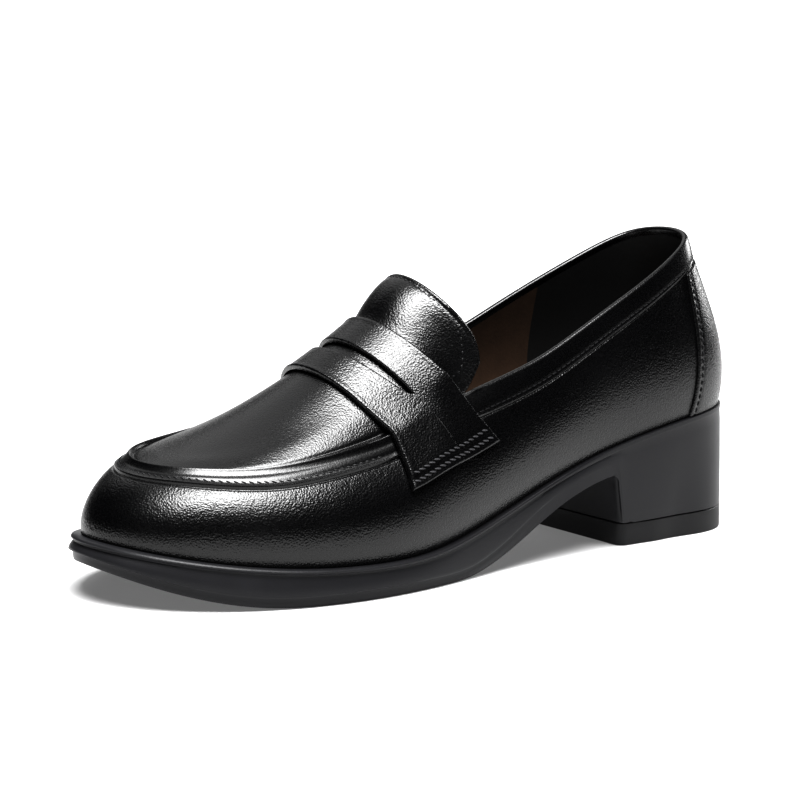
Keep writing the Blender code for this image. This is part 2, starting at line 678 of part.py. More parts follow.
def make_saddle_strap():
    """The strap over the instep with a lens-shaped slot cut through it."""
    rear, front = np.array(STRAP_REAR), np.array(STRAP_FRONT)
    places = np.concatenate([
        np.linspace(0, SLOT_PLACE, STRAP_LINES), np.linspace(SLOT_PLACE, 1, STRAP_LINES + 1)])
    lines = np.array([strap_line(*(rear + (front - rear) * place)) for place in places])
    width = STRAP_POINTS
    centre_line = lines[STRAP_LINES]
    half = SLOT_HALF_LENGTH * BALL_WIDTH
    lens = SLOT_WIDTH * np.sqrt(np.clip(1 - (centre_line[:, 0] / half) ** 2, 0, None))
    ahead = lines[STRAP_LINES + 1] - lines[STRAP_LINES]
    ahead /= np.linalg.norm(ahead, axis=1, keepdims=True)
    normals = sheet_normals(np.delete(lines, STRAP_LINES, axis=0))
    normals = np.insert(normals, STRAP_LINES, normals[STRAP_LINES - 1], axis=0)
    lines[STRAP_LINES] = lines[STRAP_LINES] + ahead * lens[:, None]
    index = np.arange(lines[..., 0].size).reshape(lines.shape[:2])
    shut = lens <= 0
    index[STRAP_LINES][shut] = index[STRAP_LINES - 1][shut]
    faces = quads(index[:STRAP_LINES]) + quads(index[STRAP_LINES:])
    inner = lines + normals * (GAP + STRAP_LIFT)
    outer = lines + normals * (GAP + STRAP_LIFT + STRAP_THICKNESS)
    used = np.unique(np.array([v for face in faces for v in face]))
    number = {int(v): k for k, v in enumerate(used)}
    faces = [tuple(number[v] for v in face) for face in faces]
    points, faces = shell(outer.reshape(-1, 3)[used], inner.reshape(-1, 3)[used], faces)
    return points + [0, 0, GAP], faces


def make_heel_counter():
    """The patch round the back of the heel, from the sole to the collar band."""
    turn = np.linspace(-1, 1, 19)
    sheets = ([], [])
    for share in np.linspace(0, 1, 10):
        across = turn * (COUNTER_LOW + (COUNTER_HIGH - COUNTER_LOW) * share)
        length = wall_length(across)
        place_share = 0.006 + share * (1 - 0.006 - (COLLAR_BAND_WIDTH + 2 * GAP) / length)
        point = wall(across, place_share)
        normal = wall_normal(across, place_share)
        for sheet, out in zip(sheets, (GAP + COUNTER_THICKNESS, GAP)):
            sheet.append(point + normal * out)
    outer, inner = np.array(sheets[0]), np.array(sheets[1])
    index = np.arange(outer[..., 0].size).reshape(outer.shape[:2])
    points, faces = shell(outer.reshape(-1, 3), inner.reshape(-1, 3), quads(index))
    return points + [0, 0, GAP], faces


LEATHER = (0.018, 0.018, 0.020, 1)
RUBBER = (0.030, 0.030, 0.032, 1)

# Node, maker, material, colour, roughness
PIECES = (
    ("sole_unit", make_sole, "sole_rubber", RUBBER, 0.65),
    ("top_lift", make_top_lift, "heel_rubber", RUBBER, 0.7),
    ("insole", make_insole, "insole_leather", (0.05, 0.035, 0.025, 1), 0.6),
    ("upper", make_upper, "upper_leather", LEATHER, 0.38),
    ("tongue", make_tongue, "tongue_leather", LEATHER, 0.38),
    ("saddle_strap", make_saddle_strap, "strap_leather", LEATHER, 0.38),
    ("heel_counter", make_heel_counter, "counter_leather", LEATHER, 0.38),
)


def clear_scene():
    for item in list(bpy.data.objects):
        bpy.data.objects.remove(item, do_unlink=True)


def make_material(name, colour, roughness):
    material = bpy.data.materials.new(name)
    material.use_nodes = True
    shader = material.node_tree.nodes["Principled BSDF"]
    shader.inputs["Base Color"].default_value = colour
    shader.inputs["Roughness"].default_value = roughness
    material.diffuse_color = colour
    return material


def add_piece(collection, name, points, faces, material):
    mesh = bpy.data.meshes.new(name)
    mesh.from_pydata([tuple(point) for point in points], [], faces)
    work = bmesh.new()
    work.from_mesh(mesh)
    bmesh.ops.remove_doubles(work, verts=work.verts, dist=1e-6)
    bmesh.ops.triangulate(work, faces=work.faces, quad_method="SHORT_EDGE")
    bmesh.ops.recalc_face_normals(work, faces=work.faces)
    if work.calc_volume(signed=True) < 0:
        bmesh.ops.reverse_faces(work, faces=work.faces)
    work.to_mesh(mesh)
    work.free()
    mesh.materials.append(material)
    piece = bpy.data.objects.new(name, mesh)
    collection.objects.link(piece)
    return piece


def build():
    """Make every piece in its place, with the middle of the shoe's footprint at the origin."""
    clear_scene()
    collection = bpy.data.collections.new("penny_loafer_pump")
    bpy.context.scene.collection.children.link(collection)
    made = [(name, *maker(), slot, colour, rough) for name, maker, slot, colour, rough in PIECES]
    every = np.vstack([points for _, points, *_ in made])
    middle = (every.min(axis=0) + every.max(axis=0)) / 2
    for name, points, faces, slot, colour, rough in made:
        placed = np.column_stack([points[:, 0] - middle[0], middle[1] - points[:, 1], points[:, 2]])
        add_piece(collection, name, placed, faces, make_material(slot, colour, rough))


build()
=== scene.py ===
"""Looks of the loafer pump: fine leather, lining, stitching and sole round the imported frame.

"along" runs from the heel curve of the last (0) to the toe tip, "across" is positive on the lateral side,
and to_frame() turns both into the frame that the part was packed in.
"""

import json
import math

import bmesh
import bpy
import numpy as np
from mathutils import Matrix, Vector

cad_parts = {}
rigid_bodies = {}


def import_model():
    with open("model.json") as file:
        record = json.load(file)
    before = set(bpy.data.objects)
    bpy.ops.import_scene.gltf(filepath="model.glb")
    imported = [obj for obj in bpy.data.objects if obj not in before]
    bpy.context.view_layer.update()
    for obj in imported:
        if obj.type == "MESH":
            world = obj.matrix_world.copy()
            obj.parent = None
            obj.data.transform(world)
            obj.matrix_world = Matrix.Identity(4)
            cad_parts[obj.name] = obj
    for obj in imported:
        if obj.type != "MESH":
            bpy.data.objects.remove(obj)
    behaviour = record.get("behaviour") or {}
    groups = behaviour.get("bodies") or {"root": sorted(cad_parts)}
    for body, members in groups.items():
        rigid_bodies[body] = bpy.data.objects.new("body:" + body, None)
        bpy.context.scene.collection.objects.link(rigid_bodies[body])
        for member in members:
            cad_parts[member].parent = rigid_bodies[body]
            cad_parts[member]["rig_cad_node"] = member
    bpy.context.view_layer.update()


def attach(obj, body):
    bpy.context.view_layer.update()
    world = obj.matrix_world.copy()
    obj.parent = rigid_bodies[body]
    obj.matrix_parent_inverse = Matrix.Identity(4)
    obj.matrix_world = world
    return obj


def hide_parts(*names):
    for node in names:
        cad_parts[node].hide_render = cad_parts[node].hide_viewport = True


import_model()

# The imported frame's origin in the shoe's own coordinates, in metres
ACROSS_MIDDLE = 0.000765
ALONG_MIDDLE = 0.121396

# Driving sizes, in metres
LAST_LENGTH = 0.243
BALL_WIDTH = 0.0815
HEEL_HEIGHT = 0.0445
FOREFOOT_THICKNESS = 0.0105
TOE_SPRING = 0.0085
COLLAR_HEIGHT = 0.0600
INSTEP_HEIGHT = 0.0720

# Walls, gaps and trims, in metres
UPPER_WALL = 0.0016
GAP = 0.0003
COLLAR_BAND_WIDTH = 0.0090
COLLAR_BAND_STEP = 0.0006
SEAM_BAND_WIDTH = 0.0068
SEAM_RIDGE = 0.0013
STRAP_THICKNESS = 0.0014
STRAP_LIFT = 0.0005
SLOT_WIDTH = 0.0042
COUNTER_LOW = 0.0430
COUNTER_HIGH = 0.0325
TONGUE_THICKNESS = 0.0020
TONGUE_TILT = 0.6
INSOLE_THICKNESS = 0.0026
TOP_LIFT_THICKNESS = 0.0080
TOP_LIFT_BEVEL = 0.0006
HEEL_BASE_LENGTH = 0.0575
HEEL_TAPER = 0.0045
HEEL_BACK_FLARE = 0.0012
BREAST_LEAN = 0.0038
BREAST_RADIUS = 0.0058
BREAST_UPRIGHT = 0.72
BREAST_CORNER = 0.0030
TOP_LIFT_LEAN = 0.0008

# The wall of the upper, a row for each section from the heel curve to the toe tip. foot is where it
# meets the sole and top is the collar, or the apron seam further forward. Lengths along are shares of
# LAST_LENGTH, lengths across and the two reaches are shares of BALL_WIDTH, the collar's height above
# the sole is a share of COLLAR_HEIGHT, and shoulder is a share of the wall's own height.
WALL_COLUMNS = (
    "foot", "foot_lat", "foot_med", "top", "top_lat", "top_med", "collar", "swell", "shoulder", "curl")
WALL_ROWS = (
    (0.000, 0.000, 0.000, 0.064, 0.000, 0.000, 1.010, 0.060, 0.34, 0.060),
    (0.017, 0.170, 0.165, 0.074, 0.125, 0.125, 1.000, 0.058, 0.34, 0.060),
    (0.058, 0.280, 0.270, 0.099, 0.210, 0.210, 0.965, 0.056, 0.34, 0.055),
    (0.132, 0.345, 0.330, 0.163, 0.275, 0.275, 0.875, 0.060, 0.34, 0.050),
    (0.247, 0.367, 0.338, 0.266, 0.312, 0.308, 0.765, 0.065, 0.34, 0.055),
    (0.379, 0.385, 0.322, 0.387, 0.335, 0.325, 0.690, 0.080, 0.34, 0.060),
    (0.502, 0.435, 0.345, 0.492, 0.350, 0.340, 0.705, 0.085, 0.34, 0.075),
    (0.617, 0.497, 0.418, 0.601, 0.366, 0.352, 0.680, 0.070, 0.30, 0.103),
    (0.724, 0.512, 0.480, 0.704, 0.364, 0.356, 0.600, 0.055, 0.26, 0.120),
    (0.823, 0.460, 0.482, 0.798, 0.326, 0.342, 0.500, 0.040, 0.22, 0.126),
    (0.905, 0.355, 0.393, 0.870, 0.234, 0.292, 0.400, 0.025, 0.20, 0.125),
    (0.965, 0.205, 0.250, 0.911, 0.108, 0.186, 0.350, 0.018, 0.18, 0.120),
    (0.997, -0.035, 0.035, 0.925, -0.038, 0.038, 0.320, 0.015, 0.18, 0.118),
)

# The sole's top edge, a row for each place along. rise is the share of the heel's lift above the
# forefoot, spring the share of TOE_SPRING.
SEAT_COLUMNS = ("along", "rise", "spring")
SEAT_ROWS = (
    (0.00, 1.000, 0.00),
    (0.10, 0.940, 0.00),
    (0.20, 0.830, 0.00),
    (0.30, 0.660, 0.00),
    (0.40, 0.425, 0.00),
    (0.50, 0.185, 0.00),
    (0.60, 0.030, 0.00),
    (0.70, 0.000, 0.02),
    (0.80, 0.000, 0.15),
    (0.90, 0.000, 0.48),
    (1.00, 0.000, 1.00),
)

# The instep over the foot: height of its middle above the sole as a share of INSTEP_HEIGHT, and how
# fast it falls off to the sides as a share of 1 / BALL_WIDTH.
INSTEP_COLUMNS = ("along", "height", "crown", "centre")
INSTEP_ROWS = (
    (0.350, 1.120, 1.90, 0.000),
    (0.450, 1.145, 2.30, 0.000),
    (0.535, 1.028, 2.62, 0.000),
    (0.617, 0.878, 2.36, 0.000),
    (0.700, 0.710, 1.62, -0.012),
    (0.785, 0.552, 1.05, -0.030),
    (0.865, 0.422, 0.66, -0.055),
    (0.935, 0.312, 0.36, -0.075),
)

# The sole's edge: how far it stands out from the upper and how much further its side swells, as shares
# of BALL_WIDTH.
EDGE_COLUMNS = ("along", "margin", "flare")
EDGE_ROWS = (
    (0.00, 0.021, 0.004),
    (0.30, 0.016, 0.004),
    (0.50, 0.017, 0.006),
    (0.65, 0.025, 0.011),
    (0.85, 0.027, 0.016),
    (0.95, 0.028, 0.017),
    (1.00, 0.029, 0.020),
)

# Rings of the sole's side from the ledge to the bottom: distance down from the ledge, distance up from
# the bottom, share of the height between the two, how far the ring stands out, how much of the flare
# it has, and how far the tread under the forefoot steps in. Lengths are shares of FOREFOOT_THICKNESS.
RING_ROWS = (
    (0.000, 0.343, 0.00, -0.057, 0.00, 0.000),
    (0.000, 0.343, 0.00, 0.010, 0.00, 0.000),
    (0.019, 0.343, 0.00, 0.048, 0.00, 0.000),
    (0.057, 0.343, 0.00, 0.070, 0.02, 0.000),
    (0.095, 0.343, 0.00, 0.060, 0.04, 0.000),
    (0.124, 0.343, 0.00, 0.030, 0.06, 0.000),
    (0.143, 0.343, 0.00, -0.005, 0.08, 0.000),
    (0.171, 0.343, 0.00, -0.015, 0.10, 0.000),
    (0.190, 0.343, 0.12, 0.000, 0.24, 0.000),
    (0.190, 0.343, 0.25, 0.000, 0.42, 0.000),
    (0.190, 0.343, 0.40, 0.000, 0.64, 0.000),
    (0.190, 0.343, 0.55, 0.000, 0.80, 0.000),
    (0.190, 0.343, 0.70, 0.000, 0.92, 0.000),
    (0.190, 0.343, 0.85, 0.000, 0.98, 0.000),
    (0.190, 0.343, 0.96, 0.000, 1.00, 0.005),
    (0.190, 0.335, 1.00, 0.000, 1.00, 0.030),
    (0.190, 0.322, 1.00, 0.000, 0.98, 0.095),
    (0.190, 0.295, 1.00, 0.000, 0.95, 0.110),
    (0.190, 0.171, 1.00, 0.000, 0.88, 0.115),
    (0.190, 0.076, 1.00, 0.000, 0.82, 0.120),
    (0.190, 0.029, 1.00, 0.000, 0.80, 0.135),
    (0.190, 0.000, 1.00, 0.000, 0.75, 0.175),
)

# The underside of the waist, as shares of the heel's lift, from the breast to the tread.
ARCH_COLUMNS = ("along", "rise")
ARCH_ROWS = (
    (0.230, 0.800),
    (0.300, 0.730),
    (0.380, 0.530),
    (0.460, 0.215),
    (0.530, 0.030),
    (0.580, 0.000),
)

# The tongue from its front, under the apron, to its free edge: where each line crosses the middle and
# meets the side as shares of LAST_LENGTH, its half width as a share of BALL_WIDTH, and how far its
# middle stands above the instep and its sides fall below that, as shares of INSTEP_HEIGHT.
TONGUE_COLUMNS = ("middle", "side", "half_width", "lift", "fall")
TONGUE_ROWS = (
    (0.680, 0.645, 0.190, 0.000, 0.000),
    (0.640, 0.605, 0.235, 0.000, 0.000),
    (0.610, 0.576, 0.275, 0.000, 0.000),
    (0.590, 0.556, 0.300, 0.012, 0.040),
    (0.578, 0.544, 0.312, 0.036, 0.120),
    (0.566, 0.530, 0.320, 0.055, 0.180),
    (0.554, 0.512, 0.328, 0.064, 0.210),
    (0.543, 0.497, 0.338, 0.062, 0.150),
    (0.535, 0.486, 0.345, 0.055, 0.080),
    (0.531, 0.481, 0.342, 0.052, 0.050),
)

# Lines of the strap from its rear edge to its front edge: where it crosses the middle, the apron seam
# and its lower end, as shares of LAST_LENGTH, and the height of that end as a share of the wall.
STRAP_REAR = (0.592, 0.533, 0.484, 0.575)
STRAP_FRONT = (0.687, 0.640, 0.632, 0.525)

# Columns round half the shoe, across the strap and across the tongue
HALF_COLUMNS = 300
STRAP_FINE = 170
TONGUE_FINE = 90

# Shares along the last of the places where the pieces meet
THROAT = 0.585
RIDGE_START = (0.575, 0.625)
APRON_POLE = 0.860
TREAD_FLAT = (0.600, 0.790)
TOE_LIFT = 1.35
TONGUE_TUCK = (0.593, 0.609)
SLOT_PLACE = 0.44
SLOT_HALF_LENGTH = 0.315

# Details of the leather, in metres
TOPLINE_RADIUS = 0.0011
CREST_RIM = 0.00028
PIPING_HEIGHT = 0.00030
GROOVE_DEPTH = 0.00050
SEAM_STITCH_UP = 0.0019
EDGE_RADIUS = 0.0006
TONGUE_RIM = 0.00022
TONGUE_REACH = 0.0100
TONGUE_STITCH_IN = 0.0021
STRAP_RIM = 0.00020
STRAP_STITCH_UP = (0.0017, 0.0042)
COUNTER_FINE = 0.0006
COUNTER_HEIGHT = 0.045
COUNTER_STITCH_IN = 0.0026
COLLAR_STITCH_UP = 0.0014
APRON_START = 0.006
EDGE_STEPS = (0.0, 0.00005, 0.00015, 0.00032, 0.00055, 0.0009)

# Where the lip round the sole rises out of its side, behind and ahead, as shares along the last
LIP_RUN = (0.24, 0.46)

# How far the tongue's rear corners are drawn in, as a share of its length
TONGUE_CORNER = 0.16

# Where the lining's brown and black parts meet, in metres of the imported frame
LINING_SEAM = 0.067

# Colour, roughness and depth of grain in metres of the leather
LEATHER_COLOUR = (0.0010, 0.0010, 0.0013)
LEATHER_ROUGHNESS = 0.23
GRAIN_DEPTH = 0.000085

# The photograph's view: angles in degrees, distance in metres, focal length in millimetres
CAMERA_AZIMUTH = 53.73
CAMERA_ELEVATION = 9.42
CAMERA_ROLL = 0.905
CAMERA_DISTANCE = 0.7891
CAMERA_LENS = 109.1


def spline(knots, values, at, period=None):
    """A cubic through values at knots with smooth curvature: periodic where a period is given, or natural."""
    knots = np.asarray(knots, float)
    values = np.asarray(values, float).reshape(len(knots), -1)
    count = len(knots)
    matrix, right = np.eye(count), np.zeros_like(values)
    if period:
        steps = np.diff(np.append(knots, knots[0] + period))
        slopes = (np.roll(values, -1, axis=0) - values) / steps[:, None]
        rows = range(count)
    else:
        steps = np.diff(knots)
        slopes = np.diff(values, axis=0) / steps[:, None]
        rows = range(1, count - 1)
    for row in rows:
        matrix[row] = 0
        matrix[row, row - 1] = steps[row - 1]
        matrix[row, row] = 2 * (steps[row - 1] + steps[row])
        matrix[row, (row + 1) % count] = steps[row]
        right[row] = 6 * (slopes[row] - slopes[row - 1])
    bends = np.linalg.solve(matrix, right)
    at = np.asarray(at, float)
    if period:
        at = np.mod(at - knots[0], period) + knots[0]
    else:
        at = np.clip(at, knots[0], knots[-1])
    low = np.clip(np.searchsorted(knots, at, side="right") - 1, 0, len(steps) - 1)
    high = (low + 1) % count
    step = steps[low][..., None]
    share = (at - knots[low])[..., None] / step
    rest = 1 - share
    found = rest * values[low] + share * values[high]
    found += ((rest**3 - rest) * bends[low] + (share**3 - share) * bends[high]) * step**2 / 6
    return found[..., 0] if found.shape[-1] == 1 else found


def unit(vectors):
    """Vectors at length 1."""
    return vectors / np.linalg.norm(vectors, axis=-1, keepdims=True)


def smoothstep(low, high, value):
    """A smooth turn from 0 at low to 1 at high."""
    share = np.clip((np.asarray(value, float) - low) / (high - low), 0, 1)
    return share * share * (3 - 2 * share)


def table(columns, rows):
    """The columns of a table by name."""
    return dict(zip(columns, np.array(rows, float).T))


def read(rows, column, along):
    """A column of a table at a share along the last."""
    return spline(rows["along"], rows[column], along)


WALL = table(WALL_COLUMNS, WALL_ROWS)
SEAT = table(SEAT_COLUMNS, SEAT_ROWS)
INSTEP = table(INSTEP_COLUMNS, INSTEP_ROWS)
EDGE = table(EDGE_COLUMNS, EDGE_ROWS)
ARCH = table(ARCH_COLUMNS, ARCH_ROWS)
TONGUE = table(TONGUE_COLUMNS, TONGUE_ROWS)
TONGUE_KNOTS = np.linspace(0, 1, len(TONGUE_ROWS))


def seat_height(along):
    """Height of the sole's top edge above the floor."""
    share = np.asarray(along, float) / LAST_LENGTH
    rise = read(SEAT, "rise", share)
    spring = read(SEAT, "spring", share)
    return FOREFOOT_THICKNESS + (HEEL_HEIGHT - FOREFOOT_THICKNESS) * rise + TOE_SPRING * spring


def instep_surface(across, along):
    """Height of the leather over the top of the foot."""
    share = np.asarray(along, float) / LAST_LENGTH
    height = read(INSTEP, "height", share) * INSTEP_HEIGHT
    crown = read(INSTEP, "crown", share) / BALL_WIDTH
    centre = read(INSTEP, "centre", share) * BALL_WIDTH
    return seat_height(along) + height - crown * (across - centre) ** 2


def section_knots():
    """Places of the wall's rows round half the shoe, shared by both sides, in metres."""
    run = np.diff(WALL["foot"]) * LAST_LENGTH
    out = (np.diff(WALL["foot_lat"]) + np.diff(WALL["foot_med"])) / 2 * BALL_WIDTH
    return np.concatenate([[0], np.cumsum(np.hypot(run, out))])


KNOTS = section_knots()
HALF = KNOTS[-1]


def section(place):
    """The wall's table read at a place round the shoe: 0 at the heel, HALF at the toe, on to 2 * HALF."""
    names = ("foot", "foot_lat", "top", "top_lat", "collar", "swell", "shoulder", "curl")
    lateral = np.column_stack([WALL[name] for name in names])
    medial = np.column_stack([WALL[name.replace("_lat", "_med")] for name in names])
    medial[:, 1] *= -1
    medial[:, 3] *= -1
    ring = np.vstack([lateral, medial[-2:0:-1]])
    knots = np.concatenate([KNOTS, 2 * HALF - KNOTS[-2:0:-1]])
    return dict(zip(names, np.moveaxis(spline(knots, ring, place, 2 * HALF), -1, 0)))


def foot_outline(place):
    """Across and along of the upper's foot, and the unit vector that points outwards there."""
    found = section(place)
    ahead = section(np.asarray(place) + 1e-4)
    across, along = found["foot_lat"] * BALL_WIDTH, found["foot"] * LAST_LENGTH
    step = [ahead["foot_lat"] * BALL_WIDTH - across, ahead["foot"] * LAST_LENGTH - along]
    run = unit(np.stack(step, axis=-1))
    return across, along, np.stack([run[..., 1], -run[..., 0]], axis=-1)


def forward(place):
    """1 where the wall ends at the apron seam, 0 where it ends at the collar."""
    return smoothstep(*RIDGE_START, section(place)["top"])


def wall(place, share):
    """A point of the upper's wall, from its foot (share 0) to its top (share 1): across, along, up."""
    found = section(place)
    across, along, out = foot_outline(place)
    top_across, top_along = found["top_lat"] * BALL_WIDTH, found["top"] * LAST_LENGTH
    foot_up = seat_height(along)
    collar = seat_height(top_along) + found["collar"] * COLLAR_HEIGHT
    seam = instep_surface(top_across, top_along)
    weight = smoothstep(THROAT - 0.05, RIDGE_START[1], found["top"])
    top_up = collar + (seam - collar) * weight
    height = top_up - foot_up
    foot = np.stack([across, along, foot_up], axis=-1)
    top = np.stack([top_across, top_along, top_up], axis=-1)
    low, high = foot.copy(), top.copy()
    low[..., :2] += out * (found["swell"] * BALL_WIDTH)[..., None]
    low[..., 2] += 0.38 * height
    high[..., :2] += out * (found["curl"] * BALL_WIDTH)[..., None]
    high[..., 2] -= found["shoulder"] * height
    at = np.asarray(share, float)[..., None]
    rest = 1 - at
    return rest**3 * foot + 3 * rest * rest * at * low + 3 * rest * at * at * high + at**3 * top


def wall_normal(place, share):
    """The unit vector that points out of the wall."""
    step = 1e-3
    low, high = np.clip(share - step, 0, 1), np.clip(share + step, 0, 1)
    up = wall(place, high) - wall(place, low)
    around = wall(place + step * 0.1, share) - wall(place - step * 0.1, share)
    return unit(np.cross(around, up))


def instep_normal(across, along):
    """The unit vector that points up out of the leather over the foot."""
    step = 1e-4
    fall_across = (instep_surface(across - step, along) - instep_surface(across + step, along)) / (2 * step)
    fall_along = (instep_surface(across, along - step) - instep_surface(across, along + step)) / (2 * step)
    return unit(np.stack([fall_across, fall_along, np.ones_like(fall_across)], axis=-1))


def wall_length(place):
    """Length of the wall from its foot to its top."""
    place = np.atleast_1d(place)
    shares = np.broadcast_to(np.linspace(0, 1, 25), (len(place), 25))
    points = wall(np.repeat(place[:, None], 25, 1), shares)
    return np.linalg.norm(np.diff(points, axis=1), axis=2).sum(axis=1)


def band_width(place):
    """Width of the collar band, or of the seam band further forward, which is narrower at the toe."""
    top = section(place)["top"]
    seam = SEAM_BAND_WIDTH * (1 - 0.25 * smoothstep(0.78, 0.92, top))
    return COLLAR_BAND_WIDTH + (seam - COLLAR_BAND_WIDTH) * forward(place)


def relief(place, down):
    """How far the leather stands out from the plain wall at a distance down from the wall's top."""
    top = section(place)["top"]
    collar = COLLAR_BAND_STEP * (1 - smoothstep(COLLAR_BAND_WIDTH - 0.0005, COLLAR_BAND_WIDTH, down))
    collar = collar * (1 - smoothstep(0.47, 0.53, top))
    rise = np.clip(1 - down / band_width(place), 0, 1)
    return collar + SEAM_RIDGE * (0.25 * smoothstep(0, 0.12, rise) + 0.75 * rise**1.5) * forward(place)


def crest_direction(place):
    """The unit vector out of the wall's top: between the wall's and the apron's normals at the seam."""
    top = wall(place, np.ones_like(place))
    side = wall_normal(place, np.ones_like(place))
    over = instep_normal(top[..., 0], top[..., 1])
    cosine = (side * over).sum(axis=-1)
    return unit(side + ((side + over) / (1 + cosine)[..., None] - side) * forward(place)[..., None])


def columns():
    """Places round the shoe of the upper's columns, closer together at the heel and the toe."""
    turn = np.linspace(0, 1, HALF_COLUMNS + 1)
    half = HALF * (turn - 0.052 * np.sin(2 * np.pi * turn))
    return np.concatenate([half, 2 * HALF - half[-2:0:-1]])


def quads(index, closed=False):
    """Faces between neighbouring rows of an array of vertex numbers."""
    if closed:
        index = np.column_stack([index, index[:, 0]])
    faces = []
    for low, high in zip(index[:-1], index[1:]):
        for col in range(len(low) - 1):
            face = [low[col], low[col + 1], high[col + 1], high[col]]
            face = [v for k, v in enumerate(face) if v != face[k - 1]]
            if len(face) > 2:
                faces.append(tuple(int(v) for v in face))
    return faces


def shell(outer, inner, faces):
    """A solid between two sheets with the same faces, walled along their free edges."""
    count = len(outer)
    solid = list(faces) + [tuple(v + count for v in reversed(face)) for face in faces]
    edges = {(face[k - 1], face[k]) for face in faces for k in range(len(face))}
    solid += [(b, a, a + count, b + count) for a, b in edges if (b, a) not in edges]
    return np.vstack([outer, inner]), solid


def ladder(ring):
    """Faces across a closed ring of vertex numbers whose first and middle ones are its heel and toe."""
    half = len(ring) // 2
    other = np.concatenate([[ring[0]], ring[:half - 1:-1]])
    return quads(np.stack([ring[: half + 1], other]))


def offset_ring(places, out):
    """Across and along of the foot outline moved outwards by a distance."""
    across, along, normal = foot_outline(places)
    return np.column_stack([across, along]) + normal * np.broadcast_to(out, across.shape)[:, None]


def underside(along):
    """Height of the sole's underside: heel, breast, arch, tread and toe spring."""
    along = np.asarray(along, float)
    share = along / LAST_LENGTH
    lift = HEEL_HEIGHT - FOREFOOT_THICKNESS
    crest = np.maximum(read(ARCH, "rise", share), 0) * lift
    arch = np.where(share > TREAD_FLAT[0] - 0.02, 0, crest)
    toe = TOE_LIFT * TOE_SPRING * np.clip((share - TREAD_FLAT[1]) / (1 - TREAD_FLAT[1]), 0, None) ** 2.1
    foot = TOP_LIFT_THICKNESS + GAP
    ahead = along - HEEL_BASE_LENGTH
    upright = (crest - foot) * BREAST_UPRIGHT
    turn = np.clip((ahead - BREAST_LEAN) / BREAST_RADIUS, 0, 1)
    rise = upright * np.clip(ahead / BREAST_LEAN, 0, 1)
    rise = rise + (crest - foot - upright) * np.sqrt(1 - (1 - turn) ** 2)
    heel = np.where(ahead <= 0, foot, np.minimum(foot + rise, crest))
    return np.where(share < 0.36, heel, arch + toe)


def sole_columns():
    """The upper's columns, with more of them where the breast of the heel turns up."""
    fine = np.linspace(0, HALF, 2001)
    along = foot_outline(fine)[1]
    upright = BREAST_LEAN * np.linspace(-0.4, 1, 15)[:-1]
    turn = BREAST_LEAN + BREAST_RADIUS * np.linspace(0, 1, 20)
    breast = HEEL_BASE_LENGTH + np.concatenate([upright, turn])
    extra = np.interp(breast, along, fine)
    half = columns()[: HALF_COLUMNS + 1]
    kept = [place for place in half if not extra[0] - 0.003 < place < extra[-1] + 0.003]
    half = np.sort(np.concatenate([kept, extra]))
    return np.concatenate([half, 2 * HALF - half[-2:0:-1]])


def side_out(places, down, bead=0.0, flare=0.75, tread=0.0):
    """How far the sole's side stands out at a distance below the ledge. The heel narrows downwards."""
    share = section(places)["foot"]
    margin = read(EDGE, "margin", share) * BALL_WIDTH
    swell = read(EDGE, "flare", share) * BALL_WIDTH
    side = smoothstep(0.0, 0.14, share)
    heel = (HEEL_TAPER * side - HEEL_BACK_FLARE * (1 - side)) * (1 - smoothstep(0.26, 0.34, share))
    taper = heel * np.clip(down / (HEEL_HEIGHT - TOP_LIFT_THICKNESS), 0, 1.2) ** 1.2
    return margin + bead + swell * flare - tread * smoothstep(0.36, 0.52, share) - taper


def corner_shift(inset):
    """How far the rounded corner of the breast sets back at a distance in from the side."""
    turn = np.clip(inset / BREAST_CORNER, 0, 1)
    return BREAST_CORNER * (1 - np.sqrt(1 - (1 - turn) ** 2))


def sheet_normals(grid):
    """Unit normals of a grid of points, upwards."""
    rows, cols = np.gradient(grid, axis=0), np.gradient(grid, axis=1)
    found = np.cross(rows, cols)
    return unit(found * np.sign(found[..., 2:].mean()))


def taut(line):
    """The points of a curve that a band pulled over it touches, seen along the shoe."""
    kept = []
    for point in line:
        while len(kept) > 1:
            first = kept[-1] - kept[-2]
            second = point - kept[-2]
            if first[0] * second[2] - first[2] * second[0] > 0:
                break
            kept.pop()
        kept.append(point)
    return np.array(kept)


def travelled(points):
    """The distance along a line of points to each of them."""
    return np.concatenate([[0], np.cumsum(np.linalg.norm(np.diff(points, axis=0), axis=1))])


def read_line(line, run, at):
    """Points of a line at distances along it, where run is the distance to each of its own points."""
    return np.column_stack([np.interp(at, run, line[:, k]) for k in range(3)])


def bump(value, centre, width):
    """A soft bump of height 1 at a centre."""
    return np.exp(-(((value - centre) / width) ** 2))


def to_frame(points):
    """Points in the shoe's own coordinates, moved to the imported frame."""
    points = np.asarray(points, float).reshape(-1, 3)
    return np.column_stack([points[:, 0] - ACROSS_MIDDLE, ALONG_MIDDLE - points[:, 1], points[:, 2]])


def add_mesh(name, points, faces, node, slot, material, grain=None, merge=True):
    """A smooth-shaded piece that stands for a CAD node."""
    mesh = bpy.data.meshes.new(name)
    mesh.from_pydata(to_frame(points).tolist(), [], faces)
    if grain is not None:
        layer = mesh.attributes.new("grain", "FLOAT", "POINT")
        layer.data.foreach_set("value", np.asarray(grain, np.float32).reshape(-1))
    work = bmesh.new()
    work.from_mesh(mesh)
    if merge:
        bmesh.ops.remove_doubles(work, verts=work.verts, dist=2e-6)
        bmesh.ops.dissolve_degenerate(work, dist=1e-7, edges=work.edges)
    bmesh.ops.recalc_face_normals(work, faces=work.faces)
    work.to_mesh(mesh)
    work.free()
    mesh.shade_smooth()
    mesh.materials.append(material)
    piece = bpy.data.objects.new(name, mesh)
    bpy.context.scene.collection.objects.link(piece)
    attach(piece, "root")
    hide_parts(node)


